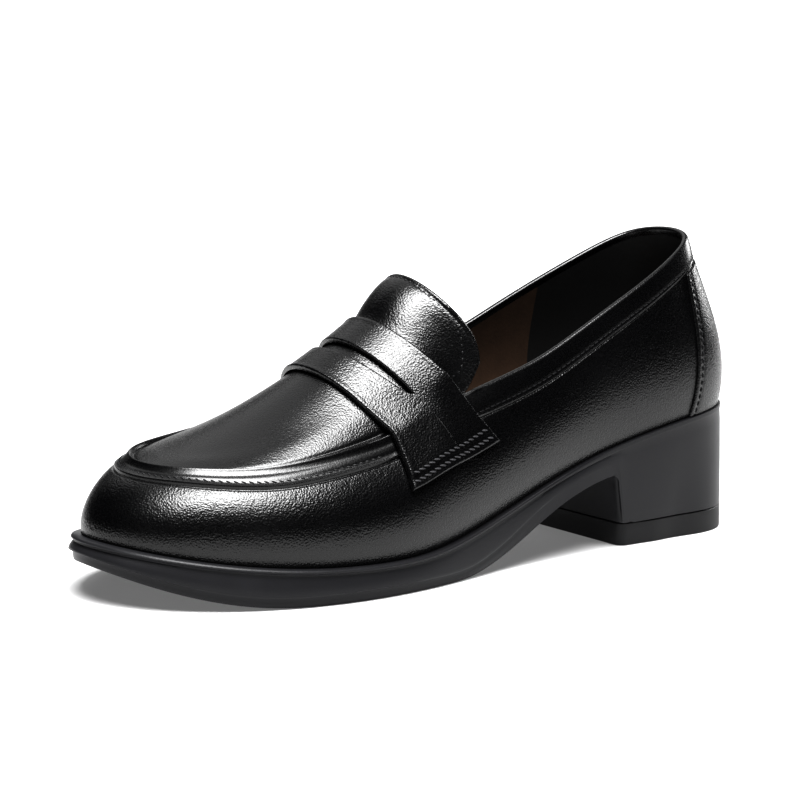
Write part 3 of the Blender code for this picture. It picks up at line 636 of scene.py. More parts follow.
def fine_relief(place, down):
    """Relief of the wall with its rim, piping and grooves along the seam and the collar band. A ridge or
    groove has a height, a distance down from the wall's top and a width."""
    ahead = forward(place)
    top = section(place)["top"]
    band = band_width(place)
    found = relief(place, down)
    behind = (1 - ahead) * (1 - smoothstep(0.50, 0.55, top))
    for share, height, centre, width in (
            (ahead, CREST_RIM, 0.0, 0.0006),
            (ahead, -0.00015, 0.0019, 0.0008),
            (ahead, PIPING_HEIGHT, band - 0.0004, 0.00038),
            (ahead, -GROOVE_DEPTH, band + 0.0004, 0.00035),
            (ahead, -0.00012, band - SEAM_STITCH_UP, 0.0006),
            (behind, -0.00016, COLLAR_BAND_WIDTH - COLLAR_STITCH_UP, 0.0005),
            (behind, -0.00022, COLLAR_BAND_WIDTH + 0.0003, 0.0004)):
        found = found + share * height * bump(down, centre, width)
    return found + behind * 0.00025 * np.sin(np.pi * np.clip(down / COLLAR_BAND_WIDTH, 0, 1))


def wall_downs(length, band, ahead):
    """Distances down from the wall's top of its rows, from the foot up."""
    low = [length + (band + 0.0016 - length) * share for share in np.linspace(0, 1, 38)]
    fine = [band + step for step in (0.0013, 0.0010, 0.0007, 0.0005, 0.0003, 0.0001, -0.0001, -0.0003)]
    fine += [band + step for step in (-0.0005, -0.0007, -0.0010, -0.0013, -0.0016, -0.0019, -0.0022, -0.0026)]
    rest = [(band - 0.0026) * share for share in np.linspace(1, 0, 17)[1:]]
    start = TOPLINE_RADIUS * (1 - ahead)
    return [start + down * (1 - start / length) for down in low + fine + rest]


def apron_ring(places):
    """Numbers of the columns from the throat round the toe to the throat, and how many lead to the toe."""
    half = len(places) // 2
    first = int(np.argmin(np.abs(section(places[: half + 1])["top"] - THROAT)))
    return np.arange(first, len(places) - first + 1), half - first + 1


def apron_middle(along, pairs):
    """Where along the middle line the apron's rows from the seam end."""
    share = (along - along[0]) / (along[pairs - 1] - along[0])
    return along[0] + APRON_START + share * ((APRON_POLE - THROAT) * LAST_LENGTH - APRON_START)


def make_upper():
    """Walls, collar band, seam and apron in one sheet of leather that rolls over the topline."""
    places = columns()
    count = len(places)
    length = wall_length(places)
    band = band_width(places)
    ahead = forward(places)
    ring, pairs = apron_ring(places)
    first = ring[0]
    crest = crest_direction(places)
    rows, grains = [], []
    for down in wall_downs(length, band, ahead):
        share = np.clip(1 - down / length, 0, 1)
        normal = wall_normal(places, share)
        lean = (ahead * (1 - smoothstep(0, 0.0012, down)))[:, None]
        normal = unit(normal + (crest - normal) * lean)
        rows.append(wall(places, share) + normal * fine_relief(places, down)[:, None])
        trim = 1 - smoothstep(0, 0.0012, down - band)
        grains.append(1 - (0.65 + 0.2 * ahead) * trim)
    walls = np.arange(len(rows) * count).reshape(len(rows), count)
    faces = quads(walls, closed=True)
    used = walls.size

    collar = np.concatenate([np.arange(count - first, count), np.arange(0, first + 1)])
    middle = (COLLAR_BAND_STEP - UPPER_WALL) / 2
    edge = [walls[-1][collar]]
    for turn in list(np.linspace(0, np.pi, 9)[1:]) + [None, None]:
        if turn is None:
            down, out = TOPLINE_RADIUS + 0.0008 * (1 + len(edge) - 9), middle - TOPLINE_RADIUS
        else:
            down, out = TOPLINE_RADIUS * (1 - np.sin(turn)), middle + TOPLINE_RADIUS * np.cos(turn)
        share = 1 - down / length[collar]
        rows.append(wall(places[collar], share) + wall_normal(places[collar], share) * out)
        grains.append(np.full(len(collar), 0.3))
        edge.append(used + np.arange(len(collar)))
        used += len(collar)
    faces += quads(np.array(edge))

    seam = wall(places, np.ones_like(places))[ring]
    middle_along = apron_middle(seam[:, 1], pairs)
    middle_across = read(INSTEP, "centre", middle_along / LAST_LENGTH) * BALL_WIDTH
    reach = np.column_stack([middle_across, middle_along]) - seam[:, :2]
    run = np.linalg.norm(reach, axis=1)
    steps = (0.0002, 0.0004, 0.0006, 0.0008, 0.0010, 0.0012, 0.0014, 0.0017, 0.0021, 0.0027, 0.0034)
    shares = [step / run for step in steps]
    shares += [steps[-1] / run + (1 - steps[-1] / run) * share for share in np.linspace(0, 1, 26)[1:]]
    ridge = fine_relief(places, np.zeros(count))[ring]
    apron = [walls[-1][ring]]
    for number, share in enumerate(shares):
        flat = seam[:, :2] + reach * share[:, None]
        inwards = run * share
        normal = instep_normal(flat[:, 0], flat[:, 1])
        lean = smoothstep(0, 0.0008, inwards)[:, None]
        out = unit(crest[ring] + (normal - crest[ring]) * lean)
        rise = ridge * (1 - smoothstep(0.0002, 0.0011, inwards))
        rise -= 0.00025 * ahead[ring] * bump(inwards, 0.0013, 0.0004)
        rise += 0.00030 * ahead[ring] * bump(inwards, 0.0060, 0.0035)
        points = np.column_stack([flat, instep_surface(flat[:, 0], flat[:, 1])]) + out * rise[:, None]
        toe = smoothstep(0.60, 0.80, flat[:, 1] / LAST_LENGTH)
        shade = (0.85 - 0.45 * toe) * smoothstep(0.0008, 0.0030, inwards) + 0.15
        if number == len(shares) - 1:
            points, shade = points[:pairs], shade[:pairs]
            apron.append(used + np.minimum(np.arange(len(ring)), len(ring) - 1 - np.arange(len(ring))))
        else:
            apron.append(used + np.arange(len(ring)))
        rows.append(points)
        grains.append(shade)
        used += len(points)
    faces += quads(np.array(apron))
    return np.vstack(rows) + [0, 0, GAP], faces, np.concatenate(grains)


def make_lining():
    """The lining inside the walls and under the apron."""
    places = columns()[::2]
    length = wall_length(places)
    rows = []
    for share in np.linspace(0.01, 1, 42):
        at = np.minimum(share, 1 - 0.0012 * (1 - forward(places)) / length)
        rows.append(wall(places, at) - wall_normal(places, at) * (UPPER_WALL - 0.00002))
    count = len(places)
    index = np.arange(len(rows) * count).reshape(len(rows), count)
    faces = quads(index, closed=True)
    used = index.size
    ring, pairs = apron_ring(places)
    seam = rows[-1][ring]
    reach = np.column_stack([np.zeros(len(ring)), apron_middle(seam[:, 1], pairs)]) - seam[:, :2]
    apron = [index[-1][ring]]
    for share in np.linspace(0, 1, 16)[1:]:
        flat = seam[:, :2] + reach * share
        under = UPPER_WALL / instep_normal(flat[:, 0], flat[:, 1])[:, 2]
        rows.append(np.column_stack([flat, instep_surface(flat[:, 0], flat[:, 1]) - under]))
        apron.append(used + np.arange(len(ring)))
        used += len(ring)
    faces += quads(np.array(apron))
    return np.vstack(rows) + [0, 0, GAP], faces


def edge_share(distance):
    """The share of a plate's thickness at a distance from its rounded edge."""
    return np.sqrt(np.clip(1 - (1 - np.clip(distance / EDGE_RADIUS, 0, 1)) ** 2, 0, 1))


def edge_places(length, count):
    """Distances along a line with more of them near both ends, where the edge is rounded."""
    near = np.array(EDGE_STEPS)
    return np.concatenate([near, np.linspace(near[-1], length - near[-1], count)[1:-1], length - near[::-1]])


def smooth_line(line, rounds):
    """A line of points with its bends softened and its ends kept."""
    for _ in range(rounds):
        line = line.copy()
        line[1:-1] = (line[:-2] + 2 * line[1:-1] + line[2:]) / 4
    return line


def strap_line(middle, seam, end, end_share):
    """Points across the shoe that the strap's underside follows, evenly spaced, lateral end first."""
    fine = np.linspace(0, HALF, 1001)
    found = section(fine)
    seam_place = np.interp(seam, found["top"], fine)
    end_place = np.interp(end, found["top"], fine)
    shares = np.linspace(end_share, 1, 48)
    part = (1 - shares) / (1 - end_share)
    sides = []
    for sign in (1, -1):
        place = seam_place + (end_place - seam_place) * part
        place = place if sign > 0 else 2 * HALF - place
        down = wall_length(place) * (1 - shares)
        sides.append(wall(place, shares) + wall_normal(place, shares) * relief(place, down)[:, None])
    lateral, medial = sides[0][-1], sides[1][-1]
    across = np.linspace(lateral[0], medial[0], 121)[1:-1]
    reach = np.where(across > 0, across / lateral[0], across / medial[0])
    along = middle * LAST_LENGTH + (lateral[1] - middle * LAST_LENGTH) * reach**2
    top = np.column_stack([across, along, instep_surface(across, along)])
    top = top[np.abs(reach) < 0.93]
    line = taut(np.vstack([sides[0], top, sides[1][::-1]]))
    run = travelled(line[:, ::2])
    at = np.linspace(0, run[-1], 2 * STRAP_FINE)
    line = smooth_line(read_line(line, run, at), 24)
    at = edge_places(run[-1], STRAP_FINE) / run[-1] * (len(line) - 1)
    return read_line(line, np.arange(len(line)), at)


def strap_sheet():
    """Lines of the strap's underside from its rear edge to its front edge, their places and normals."""
    rear, front = np.array(STRAP_REAR), np.array(STRAP_FRONT)
    places = np.linspace(0, 1, 25)
    lines = np.array([strap_line(*(rear + (front - rear) * place)) for place in places])
    return places, lines, sheet_normals(lines)


def between(places, lines, at):
    """Points of a sheet of lines at a place for each column."""
    at = np.clip(at, places[0], places[-1]) * (len(places) - 1)
    low = np.clip(at.astype(int), 0, len(places) - 2)
    share = (at - low)[:, None]
    column = np.arange(lines.shape[1])
    return lines[low, column] * (1 - share) + lines[low + 1, column] * share


def make_saddle_strap(sheet):
    """The strap over the instep, its edges rounded, with a lens-shaped slot."""
    places, lines, normals = sheet
    centre = between(places, lines, np.full(lines.shape[1], SLOT_PLACE))
    half = SLOT_HALF_LENGTH * BALL_WIDTH
    lens = SLOT_WIDTH * np.sqrt(np.clip(1 - (centre[:, 0] / half) ** 2, 0, None))
    width = np.linalg.norm(lines[-1] - lines[0], axis=1)
    run = travelled(centre)
    end = np.minimum(run, run[-1] - run)
    slotted = smoothstep(0, 0.0012, lens)
    points_out, points_in, faces, used = [], [], [], 0
    for low, high in ((np.zeros_like(lens), np.full_like(lens, SLOT_PLACE)),
                      (SLOT_PLACE + lens / width, np.ones_like(lens))):
        length = (high - low) * width
        near = np.array(EDGE_STEPS)
        inner = np.linspace(0, 1, 15)[1:-1]
        grid = [low + step / width for step in near]
        grid += [low + (near[-1] + (length - 2 * near[-1]) * share) / width for share in inner]
        grid += [high - step / width for step in near[::-1]]
        index = used + np.arange(len(grid) * len(lens)).reshape(len(grid), len(lens))
        used += index.size
        for at in grid:
            to_low, to_high = (at - low) * width, (high - at) * width
            rear = edge_share(to_low) if low[0] == 0 else 1 - (1 - edge_share(to_low)) * slotted
            ahead = edge_share(to_high) if high[0] == 1 else 1 - (1 - edge_share(to_high)) * slotted
            thick = STRAP_THICKNESS * np.minimum(np.minimum(rear, ahead), edge_share(end))
            thick = thick + STRAP_RIM * (low[0] == 0) * bump(to_low, 0.0010, 0.0005)
            thick = thick + STRAP_RIM * (high[0] == 1) * bump(to_high, 0.0010, 0.0005)
            thick = thick - 0.0002 * bump(end, sum(STRAP_STITCH_UP) / 2, 0.0011)
            point = between(places, lines, at)
            normal = between(places, normals, at)
            points_in.append(point + normal * (GAP + STRAP_LIFT))
            points_out.append(point + normal * (GAP + STRAP_LIFT + thick[:, None]))
        faces += quads(index)
    points, faces = shell(np.vstack(points_out), np.vstack(points_in), faces)
    return points + [0, 0, GAP], faces


def tongue_sheet(v, inset):
    """Points of the tongue's top at places v from its front to its free edge, at distances in from its
    medial side."""
    across = 2 * inset / tongue_width(v) - 1
    v = v * (1 - TONGUE_CORNER * across**8)
    middle, side, half, lift, fall = (spline(TONGUE_KNOTS, TONGUE[name], v) for name in TONGUE_COLUMNS)
    x = across * half * BALL_WIDTH
    along = (middle + (side - middle) * across**2) * LAST_LENGTH
    outer = np.stack([x, along, instep_surface(x, along)], axis=-1)
    tuck = (UPPER_WALL + 2 * GAP) * smoothstep(*TONGUE_TUCK, middle) + GAP
    outer -= instep_normal(x, along) * tuck[..., None]
    outer[..., 2] += (lift * (1 - TONGUE_TILT * across) - fall * across**4) * INSTEP_HEIGHT
    return outer


def tongue_width(v):
    """The tongue's width at a place from its front to its free edge."""
    return 2 * BALL_WIDTH * spline(TONGUE_KNOTS, TONGUE["half_width"], v)


def make_tongue():
    """The tongue with a rounded free edge."""
    near = np.array(EDGE_STEPS)
    lines = np.concatenate([np.linspace(0, 0.90, 90), 1 - near[::-1] / TONGUE_REACH])
    grid = []
    for v in lines:
        inset = edge_places(tongue_width(v), TONGUE_FINE)
        grid.append(tongue_sheet(np.full_like(inset, v), inset))
    outer = np.array(grid)
    normals = sheet_normals(outer)
    rear = np.linalg.norm(outer - outer[-1], axis=-1)
    medial = np.linalg.norm(outer - outer[:, :1], axis=-1)
    lateral = np.linalg.norm(outer - outer[:, -1:], axis=-1)
    edge = np.minimum(rear, np.minimum(medial, lateral))[..., None]
    thick = edge_share(edge) * TONGUE_THICKNESS / 2
    rim = TONGUE_RIM * bump(edge, 0.0009, 0.0005) - 0.00014 * bump(edge, TONGUE_STITCH_IN, 0.0005)
    middle = outer - normals * TONGUE_THICKNESS / 2 + normals * rim
    index = np.arange(rear.size).reshape(rear.shape)
    top, low = middle + normals * thick, middle - normals * thick
    points, faces = shell(top.reshape(-1, 3), low.reshape(-1, 3), quads(index))
    return points + [0, 0, GAP], faces


def tongue_path():
    """The line of the tongue's stitching, along its sides and across its free edge, and its normals."""
    inset = TONGUE_STITCH_IN
    width = tongue_width(0.843)
    back = np.linspace(0.45, 0.78, 30)
    v = np.concatenate([back, [0.815], np.full(60, 0.843), [0.815], back[::-1]])
    rear = np.linspace(2.2 * inset, width - 2.2 * inset, 60)
    at = np.concatenate([np.full(30, inset), [1.4 * inset], rear, np.zeros(31)])
    at[91] = tongue_width(0.815) - 1.4 * inset
    at[92:] = tongue_width(v[92:]) - inset
    path = tongue_sheet(v, at)
    normal = np.cross(tongue_sheet(v + 0.002, at) - path, tongue_sheet(v, at + 1e-4) - path)
    normal = unit(normal * np.sign(normal[:, 2:]))
    return path - normal * 0.0003, normal


def strap_paths(sheet):
    """Two rows of stitching across each end of the strap, and their normals."""
    lines, normals = sheet[1:]
    run = edge_places(1.0, STRAP_FINE)
    length = np.linalg.norm(np.diff(lines[0], axis=0), axis=1).sum()
    paths = []
    for up in STRAP_STITCH_UP:
        column = int(np.argmin(np.abs(run * length - up)))
        for side in (column, -1 - column):
            path = lines[1:-1, side] + normals[1:-1, side] * (GAP + STRAP_LIFT + STRAP_THICKNESS - 0.00012)
            paths.append((path, normals[1:-1, side]))
    return paths


def counter_point(turn, share, out):
    """A point of the heel counter: turn from its medial edge (-1) to its lateral one, share up it."""
    across = turn * (COUNTER_LOW + (COUNTER_HIGH - COUNTER_LOW) * share)
    length = wall_length(np.ravel(across)).reshape(np.shape(across))
    up = 0.006 + share * (1 - 0.006 - (COLLAR_BAND_WIDTH + 2 * GAP) / length)
    return wall(across, up) + wall_normal(across, up) * np.broadcast_to(out, across.shape)[..., None]


def make_heel_counter():
    """The patch round the back of the heel, its edges rounded and puckered by its stitching."""
    reach = 2 * COUNTER_LOW
    turn = edge_places(reach, 130) / reach * 2 - 1
    shares = np.concatenate([np.linspace(0, 0.985, 60), 1 - np.array(EDGE_STEPS)[::-1][1:] / COUNTER_HEIGHT])
    turns, ups = np.meshgrid(turn, shares)
    side = (1 - np.abs(turns)) * (COUNTER_LOW + (COUNTER_HIGH - COUNTER_LOW) * ups)
    edge = np.minimum(side, (1 - ups) * COUNTER_HEIGHT)
    waves = np.sin(2 * np.pi * ups * COUNTER_HEIGHT / 0.0024)
    pucker = bump(side, COUNTER_STITCH_IN, 0.0009) * (0.00022 + 0.00010 * waves)
    out = GAP + COUNTER_FINE * edge_share(edge) - pucker
    outer = counter_point(turns, ups, out)
    inner = counter_point(turns, ups, np.full_like(out, 0.0001))
    index = np.arange(turns.size).reshape(turns.shape)
    points, faces = shell(outer.reshape(-1, 3), inner.reshape(-1, 3), quads(index))
    return points + [0, 0, GAP], faces


def rows_across(rings, shares, height):
    """Points of a body of rings with rows of them across its last one, the rings' vertex numbers and the
    faces across. height takes the rows' places along and their distances in from the side."""
    count = len(rings[0])
    half = count // 2
    index = np.arange(len(rings) * count).reshape(len(rings), count)
    lateral = rings[-1][: half + 1]
    medial = np.vstack([rings[-1][:1], rings[-1][: half - 1 : -1]])
    rows, extra, used = [index[-1][: half + 1]], [], index.size
    for share in shares:
        line = lateral + (medial - lateral) * share
        inset = np.linalg.norm(medial - lateral, axis=1) * min(share, 1 - share)
        line[:, 2] = height(line[:, 1], inset)
        row = np.empty(half + 1, int)
        row[0], row[-1] = index[-1][0], index[-1][half]
        row[1:-1] = used + np.arange(half - 1)
        used += half - 1
        extra.append(line[1:-1])
        rows.append(row)
    rows.append(np.concatenate([[index[-1][0]], index[-1][: half - 1 : -1]]))
    return np.vstack(rings + extra), index, quads(np.array(rows))


def make_insole():
    """The sock inside the upper."""
    places = columns()[::3]
    inset = UPPER_WALL + GAP
    top = GAP + INSOLE_THICKNESS
    rings = []
    for inwards, up in ((0.0004, GAP), (0, GAP + 0.0005), (0.0004, top - 0.0004), (0.0012, top)):
        ring = offset_ring(places, -inset - inwards)
        rings.append(np.column_stack([ring, seat_height(ring[:, 1]) + up]))
    shares = np.linspace(0, 1, 14)[1:-1]
    points, index, across = rows_across(rings, shares, lambda along, inset: seat_height(along) + top)
    bottom = [tuple(reversed(face)) for face in ladder(index[0])]
    return points, quads(index, closed=True) + across + bottom


def make_sole():
    """Outsole, waist and heel block in one moulding, with a lip along its top edge that fades out at the
    heel, and the line of the tread."""
    places = sole_columns()
    foot = foot_outline(places)[1]
    top, low = seat_height(foot), underside(foot)
    lip = smoothstep(*LIP_RUN, section(places)["foot"])
    rings = []
    for drop, rise, share, bead, flare, tread in RING_ROWS:
        drop, rise, bead, tread = (value * FOREFOOT_THICKNESS for value in (drop, rise, bead, tread))
        up = top - drop - (top - low - drop - rise) * share
        stand = bead * lip if bead > 0 else bead
        ring = offset_ring(places, side_out(places, top - up, stand, flare, tread))
        rings.append(np.column_stack([ring, up]))
    rings[0][:, 2] = seat_height(rings[0][:, 1])
    rings[-1][:, 2] = underside(rings[-1][:, 1] + BREAST_CORNER)
    edge = (0.003, 0.008, 0.015, 0.025, 0.04, 0.065, 0.10, 0.2, 0.35)
    shares = list(edge) + [0.5] + [1 - share for share in edge[::-1]]
    points, index, across = rows_across(
        rings, shares, lambda along, inset: underside(along + corner_shift(inset)))
    return points, quads(index, closed=True) + ladder(index[0]) + across


def make_top_lift():
    """The wearing piece under the heel block, with a small bevel round its bottom."""
    fine = np.linspace(-0.2 * HALF, 0.2 * HALF, 1601)
    back = 800
    flat = HEEL_BASE_LENGTH - BREAST_CORNER
    corner = HEEL_BASE_LENGTH - BREAST_CORNER * (1 - np.sin(np.linspace(0, np.pi / 2, 9)))
    stations = np.concatenate([flat * np.linspace(0, 1, 60)[1:-1] ** 2, corner])
    turn = np.clip(1 - (HEEL_BASE_LENGTH - stations) / BREAST_CORNER, 0, 1)
    inset = BREAST_CORNER * (1 - np.sqrt(1 - turn**2))
    rings = []
    bevel = TOP_LIFT_BEVEL
    for up, inwards in ((TOP_LIFT_THICKNESS, 0.0003), (TOP_LIFT_THICKNESS - 0.0003, 0), (bevel, 0),
                        (0.3 * bevel, 0.3 * bevel), (0, bevel)):
        down = seat_height(np.abs(foot_outline(fine)[1])) - up
        outline = offset_ring(fine, side_out(fine, down) - inwards)
        lean = TOP_LIFT_LEAN * (1 - up / TOP_LIFT_THICKNESS) + inwards
        start = outline[back, 1]
        along = start + stations * (HEEL_BASE_LENGTH - lean - start) / HEEL_BASE_LENGTH
        lateral = np.interp(along, outline[back:, 1], outline[back:, 0]) - inset
        medial = np.interp(along, outline[back::-1, 1], outline[back::-1, 0]) + inset
        points = [[outline[back, 0], start]] + list(np.column_stack([lateral, along]))
        points += list(np.column_stack([medial, along])[::-1])
        rings.append(np.column_stack([points, np.full(len(points), up)]))
    count = len(rings[0])
    index = np.arange(len(rings) * count).reshape(len(rings), count)
    across = count // 2
    faces = quads(index, closed=True)
    for ring in (index[0], index[-1]):
        faces += quads(np.stack([ring[: across + 1], np.concatenate([[ring[0]], ring[:across:-1]])]))
    return np.vstack(rings), faces


def stitches(paths, pitch, length, radius, degrees):
    """Short threads along paths of (points, normals), each one rounded and dipping in at its ends, and
    turned by an angle from the path."""
    tilt = math.radians(degrees)
    turn = np.linspace(0, 2 * np.pi, 7)[:-1]
    steps = np.array([-1.0, -0.85, -0.5, 0.0, 0.5, 0.85, 1.0])
    points, faces = [], []
    for path, normals in paths:
        run = travelled(path)
        at = np.arange(pitch / 2, run[-1] - pitch / 4, pitch)
        centre, out = read_line(path, run, at), read_line(normals, run, at)
        ahead = read_line(path, run, at + 1e-4) - centre
        ahead = unit(ahead - out * (ahead * out).sum(axis=1)[:, None])
        side = np.cross(out, ahead)
        ahead, side = ahead * np.cos(tilt) + side * np.sin(tilt), side * np.cos(tilt) - ahead * np.sin(tilt)
        for point, normal, forth, aside in zip(centre, out, ahead, side):
            base = len(points)
            for step in steps:
                girth = radius * np.sqrt(max(1 - abs(step) ** 3, 0.02))
                mid = point + forth * (step * length / 2) + normal * radius * (0.6 - 0.8 * step * step)
                points += [mid + (aside * np.cos(angle) + normal * np.sin(angle)) * girth for angle in turn]
            ring = np.arange(base, base + len(steps) * 6).reshape(len(steps), 6)
            faces += quads(ring, closed=True)
            faces += [tuple(int(v) for v in ring[0]), tuple(int(v) for v in ring[-1][::-1])]
    return np.array(points) + [0, 0, GAP], faces


def wall_path(places, down):
    """A path on the relief of the wall at a distance down from its top."""
    length = wall_length(places)
    share = 1 - down / length
    normal = wall_normal(places, share)
    return wall(places, share) + normal * fine_relief(places, down)[:, None], normal


def place_of_top(top):
    """The place on the lateral side where the wall's top is at a share along the last."""
    fine = np.linspace(0, HALF, 2001)
    return np.interp(top, section(fine)["top"], fine)


def add_node(tree, kind, **settings):
    """A new node, with its inputs set by names that start with in_ and its settings by their own."""
    node = tree.nodes.new(kind)
    for key, value in settings.items():
        if key.startswith("in_"):
            node.inputs[key[3:].replace("_", " ")].default_value = value
        else:
            setattr(node, key, value)
    return node


def node_tree(name):
    """A new node material, its tree, its principled shader and the object coordinates."""
    material = bpy.data.materials.new(name)
    material.use_nodes = True
    tree = material.node_tree
    place = add_node(tree, "ShaderNodeTexCoord").outputs["Object"]
    return material, tree, tree.nodes["Principled BSDF"], place


def math_node(tree, operation, first, second=None, clamp=False):
    """A math node between two sockets or numbers, and its output."""
    node = add_node(tree, "ShaderNodeMath", operation=operation, use_clamp=clamp)
    for socket, value in zip(node.inputs, (first, second)):
        if value is None:
            continue
        if isinstance(value, (int, float)):
            socket.default_value = value
        else:
            tree.links.new(value, socket)
    return node.outputs[0]


def ramp(tree, value, low, high, start=0.0, end=1.0):
    """A smooth turn from start at low to end at high."""
    node = add_node(tree, "ShaderNodeMapRange", interpolation_type="SMOOTHSTEP")
    tree.links.new(value, node.inputs["Value"])
    for name, bound in (("From Min", low), ("From Max", high), ("To Min", start), ("To Max", end)):
        node.inputs[name].default_value = bound
    return node.outputs["Result"]


def mix_colour(tree, share, first, second):
    """A mix of two colours, each a tuple or a socket."""
    node = add_node(tree, "ShaderNodeMix", data_type="RGBA")
    tree.links.new(share, node.inputs["Factor"])
    for socket, value in zip((node.inputs[6], node.inputs[7]), (first, second)):
        if isinstance(value, tuple):
            socket.default_value = (*value, 1)
        else:
            tree.links.new(value, socket)
    return node.outputs[2]


def mottle(tree, shader, share, colour, gain):
    """Set the shader's colour, gain times as light where share is 1."""
    light = tuple(gain * part for part in colour)
    tree.links.new(mix_colour(tree, share, colour, light), shader.inputs["Base Color"])


def set_bump(tree, shader, height, depth):
    """Bump the shader's normal by a height whose full reach is a depth in metres."""
    bumped = add_node(tree, "ShaderNodeBump", in_Distance=depth)
    tree.links.new(height, bumped.inputs["Height"])
    tree.links.new(bumped.outputs["Normal"], shader.inputs["Normal"])


def noise(tree, vector, scale, detail=3.0):
    """Cloudy noise between 0 and 1."""
    node = add_node(tree, "ShaderNodeTexNoise", in_Scale=scale, in_Detail=detail)
    tree.links.new(vector, node.inputs["Vector"])
    return node.outputs["Fac"]


def pebbles(tree, vector, scale):
    """Rounded grain cells, 1 on the top of a pebble and near 0 between them."""
    node = add_node(tree, "ShaderNodeTexVoronoi", feature="SMOOTH_F1", in_Scale=scale, in_Randomness=0.95)
    node.inputs["Smoothness"].default_value = 0.35
    tree.links.new(vector, node.inputs["Vector"])
    return math_node(tree, "SUBTRACT", 1.0, node.outputs["Distance"], clamp=True)


def warped(tree, place, amount, scale):
    """Coordinates pushed about by noise, so that the cells are not all straight-sided."""
    push = add_node(tree, "ShaderNodeTexNoise", in_Scale=scale, in_Detail=2.0)
    tree.links.new(place, push.inputs["Vector"])
    mix = add_node(tree, "ShaderNodeVectorMath", operation="MULTIPLY_ADD")
    tree.links.new(push.outputs["Color"], mix.inputs[0])
    mix.inputs[1].default_value = (amount, amount, amount)
    tree.links.new(place, mix.inputs[2])
    return mix.outputs[0]


def leather(name, graded):
    """Pebble-grained leather. Where it is graded, the mesh says how much of its grain each point has."""
    material, tree, shader, place = node_tree(name)
    coarse = pebbles(tree, warped(tree, place, 0.0009, 420.0), 1600.0)
    fine = noise(tree, place, 2300.0, 2.0)
    waves = noise(tree, place, 420.0, 3.0)
    height = math_node(tree, "ADD", coarse, math_node(tree, "MULTIPLY", fine, 0.30))
    height = math_node(tree, "ADD", height, math_node(tree, "MULTIPLY", waves, 0.60))
    if graded:
        share = add_node(tree, "ShaderNodeAttribute", attribute_name="grain").outputs["Fac"]
        height = math_node(tree, "MULTIPLY", height, share)
    set_bump(tree, shader, height, GRAIN_DEPTH)
    valley = math_node(tree, "SUBTRACT", 1.0, coarse)
    patchy = noise(tree, place, 45.0, 2.0)
    roughness = math_node(tree, "ADD", LEATHER_ROUGHNESS - 0.04, math_node(tree, "MULTIPLY", valley, 0.10))
    roughness = math_node(tree, "ADD", roughness, math_node(tree, "MULTIPLY", patchy, 0.08))
    tree.links.new(roughness, shader.inputs["Roughness"])
    mottle(tree, shader, patchy, LEATHER_COLOUR, 1.5)
    shader.inputs["Specular IOR Level"].default_value = 0.7
    return material


def rubber(name, colour, rough):
    """Moulded rubber with a fine matt skin."""
    material, tree, shader, place = node_tree(name)
    broad = noise(tree, place, 60.0, 3.0)
    set_bump(tree, shader, noise(tree, place, 2600.0, 2.0), 0.00004)
    roughness = math_node(tree, "ADD", rough - 0.05, math_node(tree, "MULTIPLY", broad, 0.12))
    tree.links.new(roughness, shader.inputs["Roughness"])
    mottle(tree, shader, broad, colour, 1.35)
    shader.inputs["Specular IOR Level"].default_value = 0.3
    return material


def lining(name):
    """Brown lining leather in the forepart and black at the back, joined at an upright seam."""
    material, tree, shader, place = node_tree(name)
    split = add_node(tree, "ShaderNodeSeparateXYZ")
    tree.links.new(place, split.inputs[0])
    ahead = math_node(tree, "SUBTRACT", LINING_SEAM, split.outputs["Y"])
    front = ramp(tree, ahead, -0.0002, 0.0002)
    mottled = noise(tree, place, 180.0, 4.0)
    brown = mix_colour(tree, mottled, (0.045, 0.026, 0.016), (0.085, 0.050, 0.030))
    black = mix_colour(tree, mottled, (0.006, 0.006, 0.006), (0.011, 0.011, 0.011))
    tree.links.new(mix_colour(tree, front, black, brown), shader.inputs["Base Color"])
    set_bump(tree, shader, noise(tree, place, 900.0, 3.0), 0.00006)
    shader.inputs["Roughness"].default_value = 0.62
    return material


def thread(name, colour):
    """Twisted thread."""
    material, tree, shader, place = node_tree(name)
    strands = noise(tree, place, 2400.0, 1.0)
    mottle(tree, shader, strands, colour, 1.8)
    set_bump(tree, shader, strands, 0.00005)
    shader.inputs["Roughness"].default_value = 0.5
    return material


def make_camera():
    """The photograph's view: its angle, distance, roll and lens."""
    azimuth, elevation = math.radians(CAMERA_AZIMUTH), math.radians(CAMERA_ELEVATION)
    target = Vector((-0.00076, -0.00363, 0.045))
    level = math.cos(elevation)
    back = Vector((math.sin(azimuth) * level, -math.cos(azimuth) * level, math.sin(elevation)))
    right = Vector((0, 0, 1)).cross(back).normalized()
    up = back.cross(right)
    turn = Matrix((right, up, back)).transposed().to_4x4()
    data = bpy.data.cameras.new("camera")
    data.sensor_width = 36.0
    data.lens = CAMERA_LENS
    data.shift_x = -0.0151
    data.shift_y = 0.0262
    data.clip_end = 50.0
    camera = bpy.data.objects.new("camera", data)
    bpy.context.scene.collection.objects.link(camera)
    roll = Matrix.Rotation(math.radians(CAMERA_ROLL), 4, "Z")
    camera.matrix_world = Matrix.Translation(target + back * CAMERA_DISTANCE) @ turn @ roll
    bpy.context.scene.camera = camera


def area_light(name, place, aim, size, power):
    """A soft box at a place, turned towards a point."""
    data = bpy.data.lights.new(name, "AREA")
    data.shape = "RECTANGLE"
    data.size, data.size_y = size
    data.energy = power
    lamp = bpy.data.objects.new(name, data)
    lamp.location = place
    lamp.rotation_euler = (Vector(aim) - Vector(place)).to_track_quat("-Z", "Y").to_euler()
    bpy.context.scene.collection.objects.link(lamp)


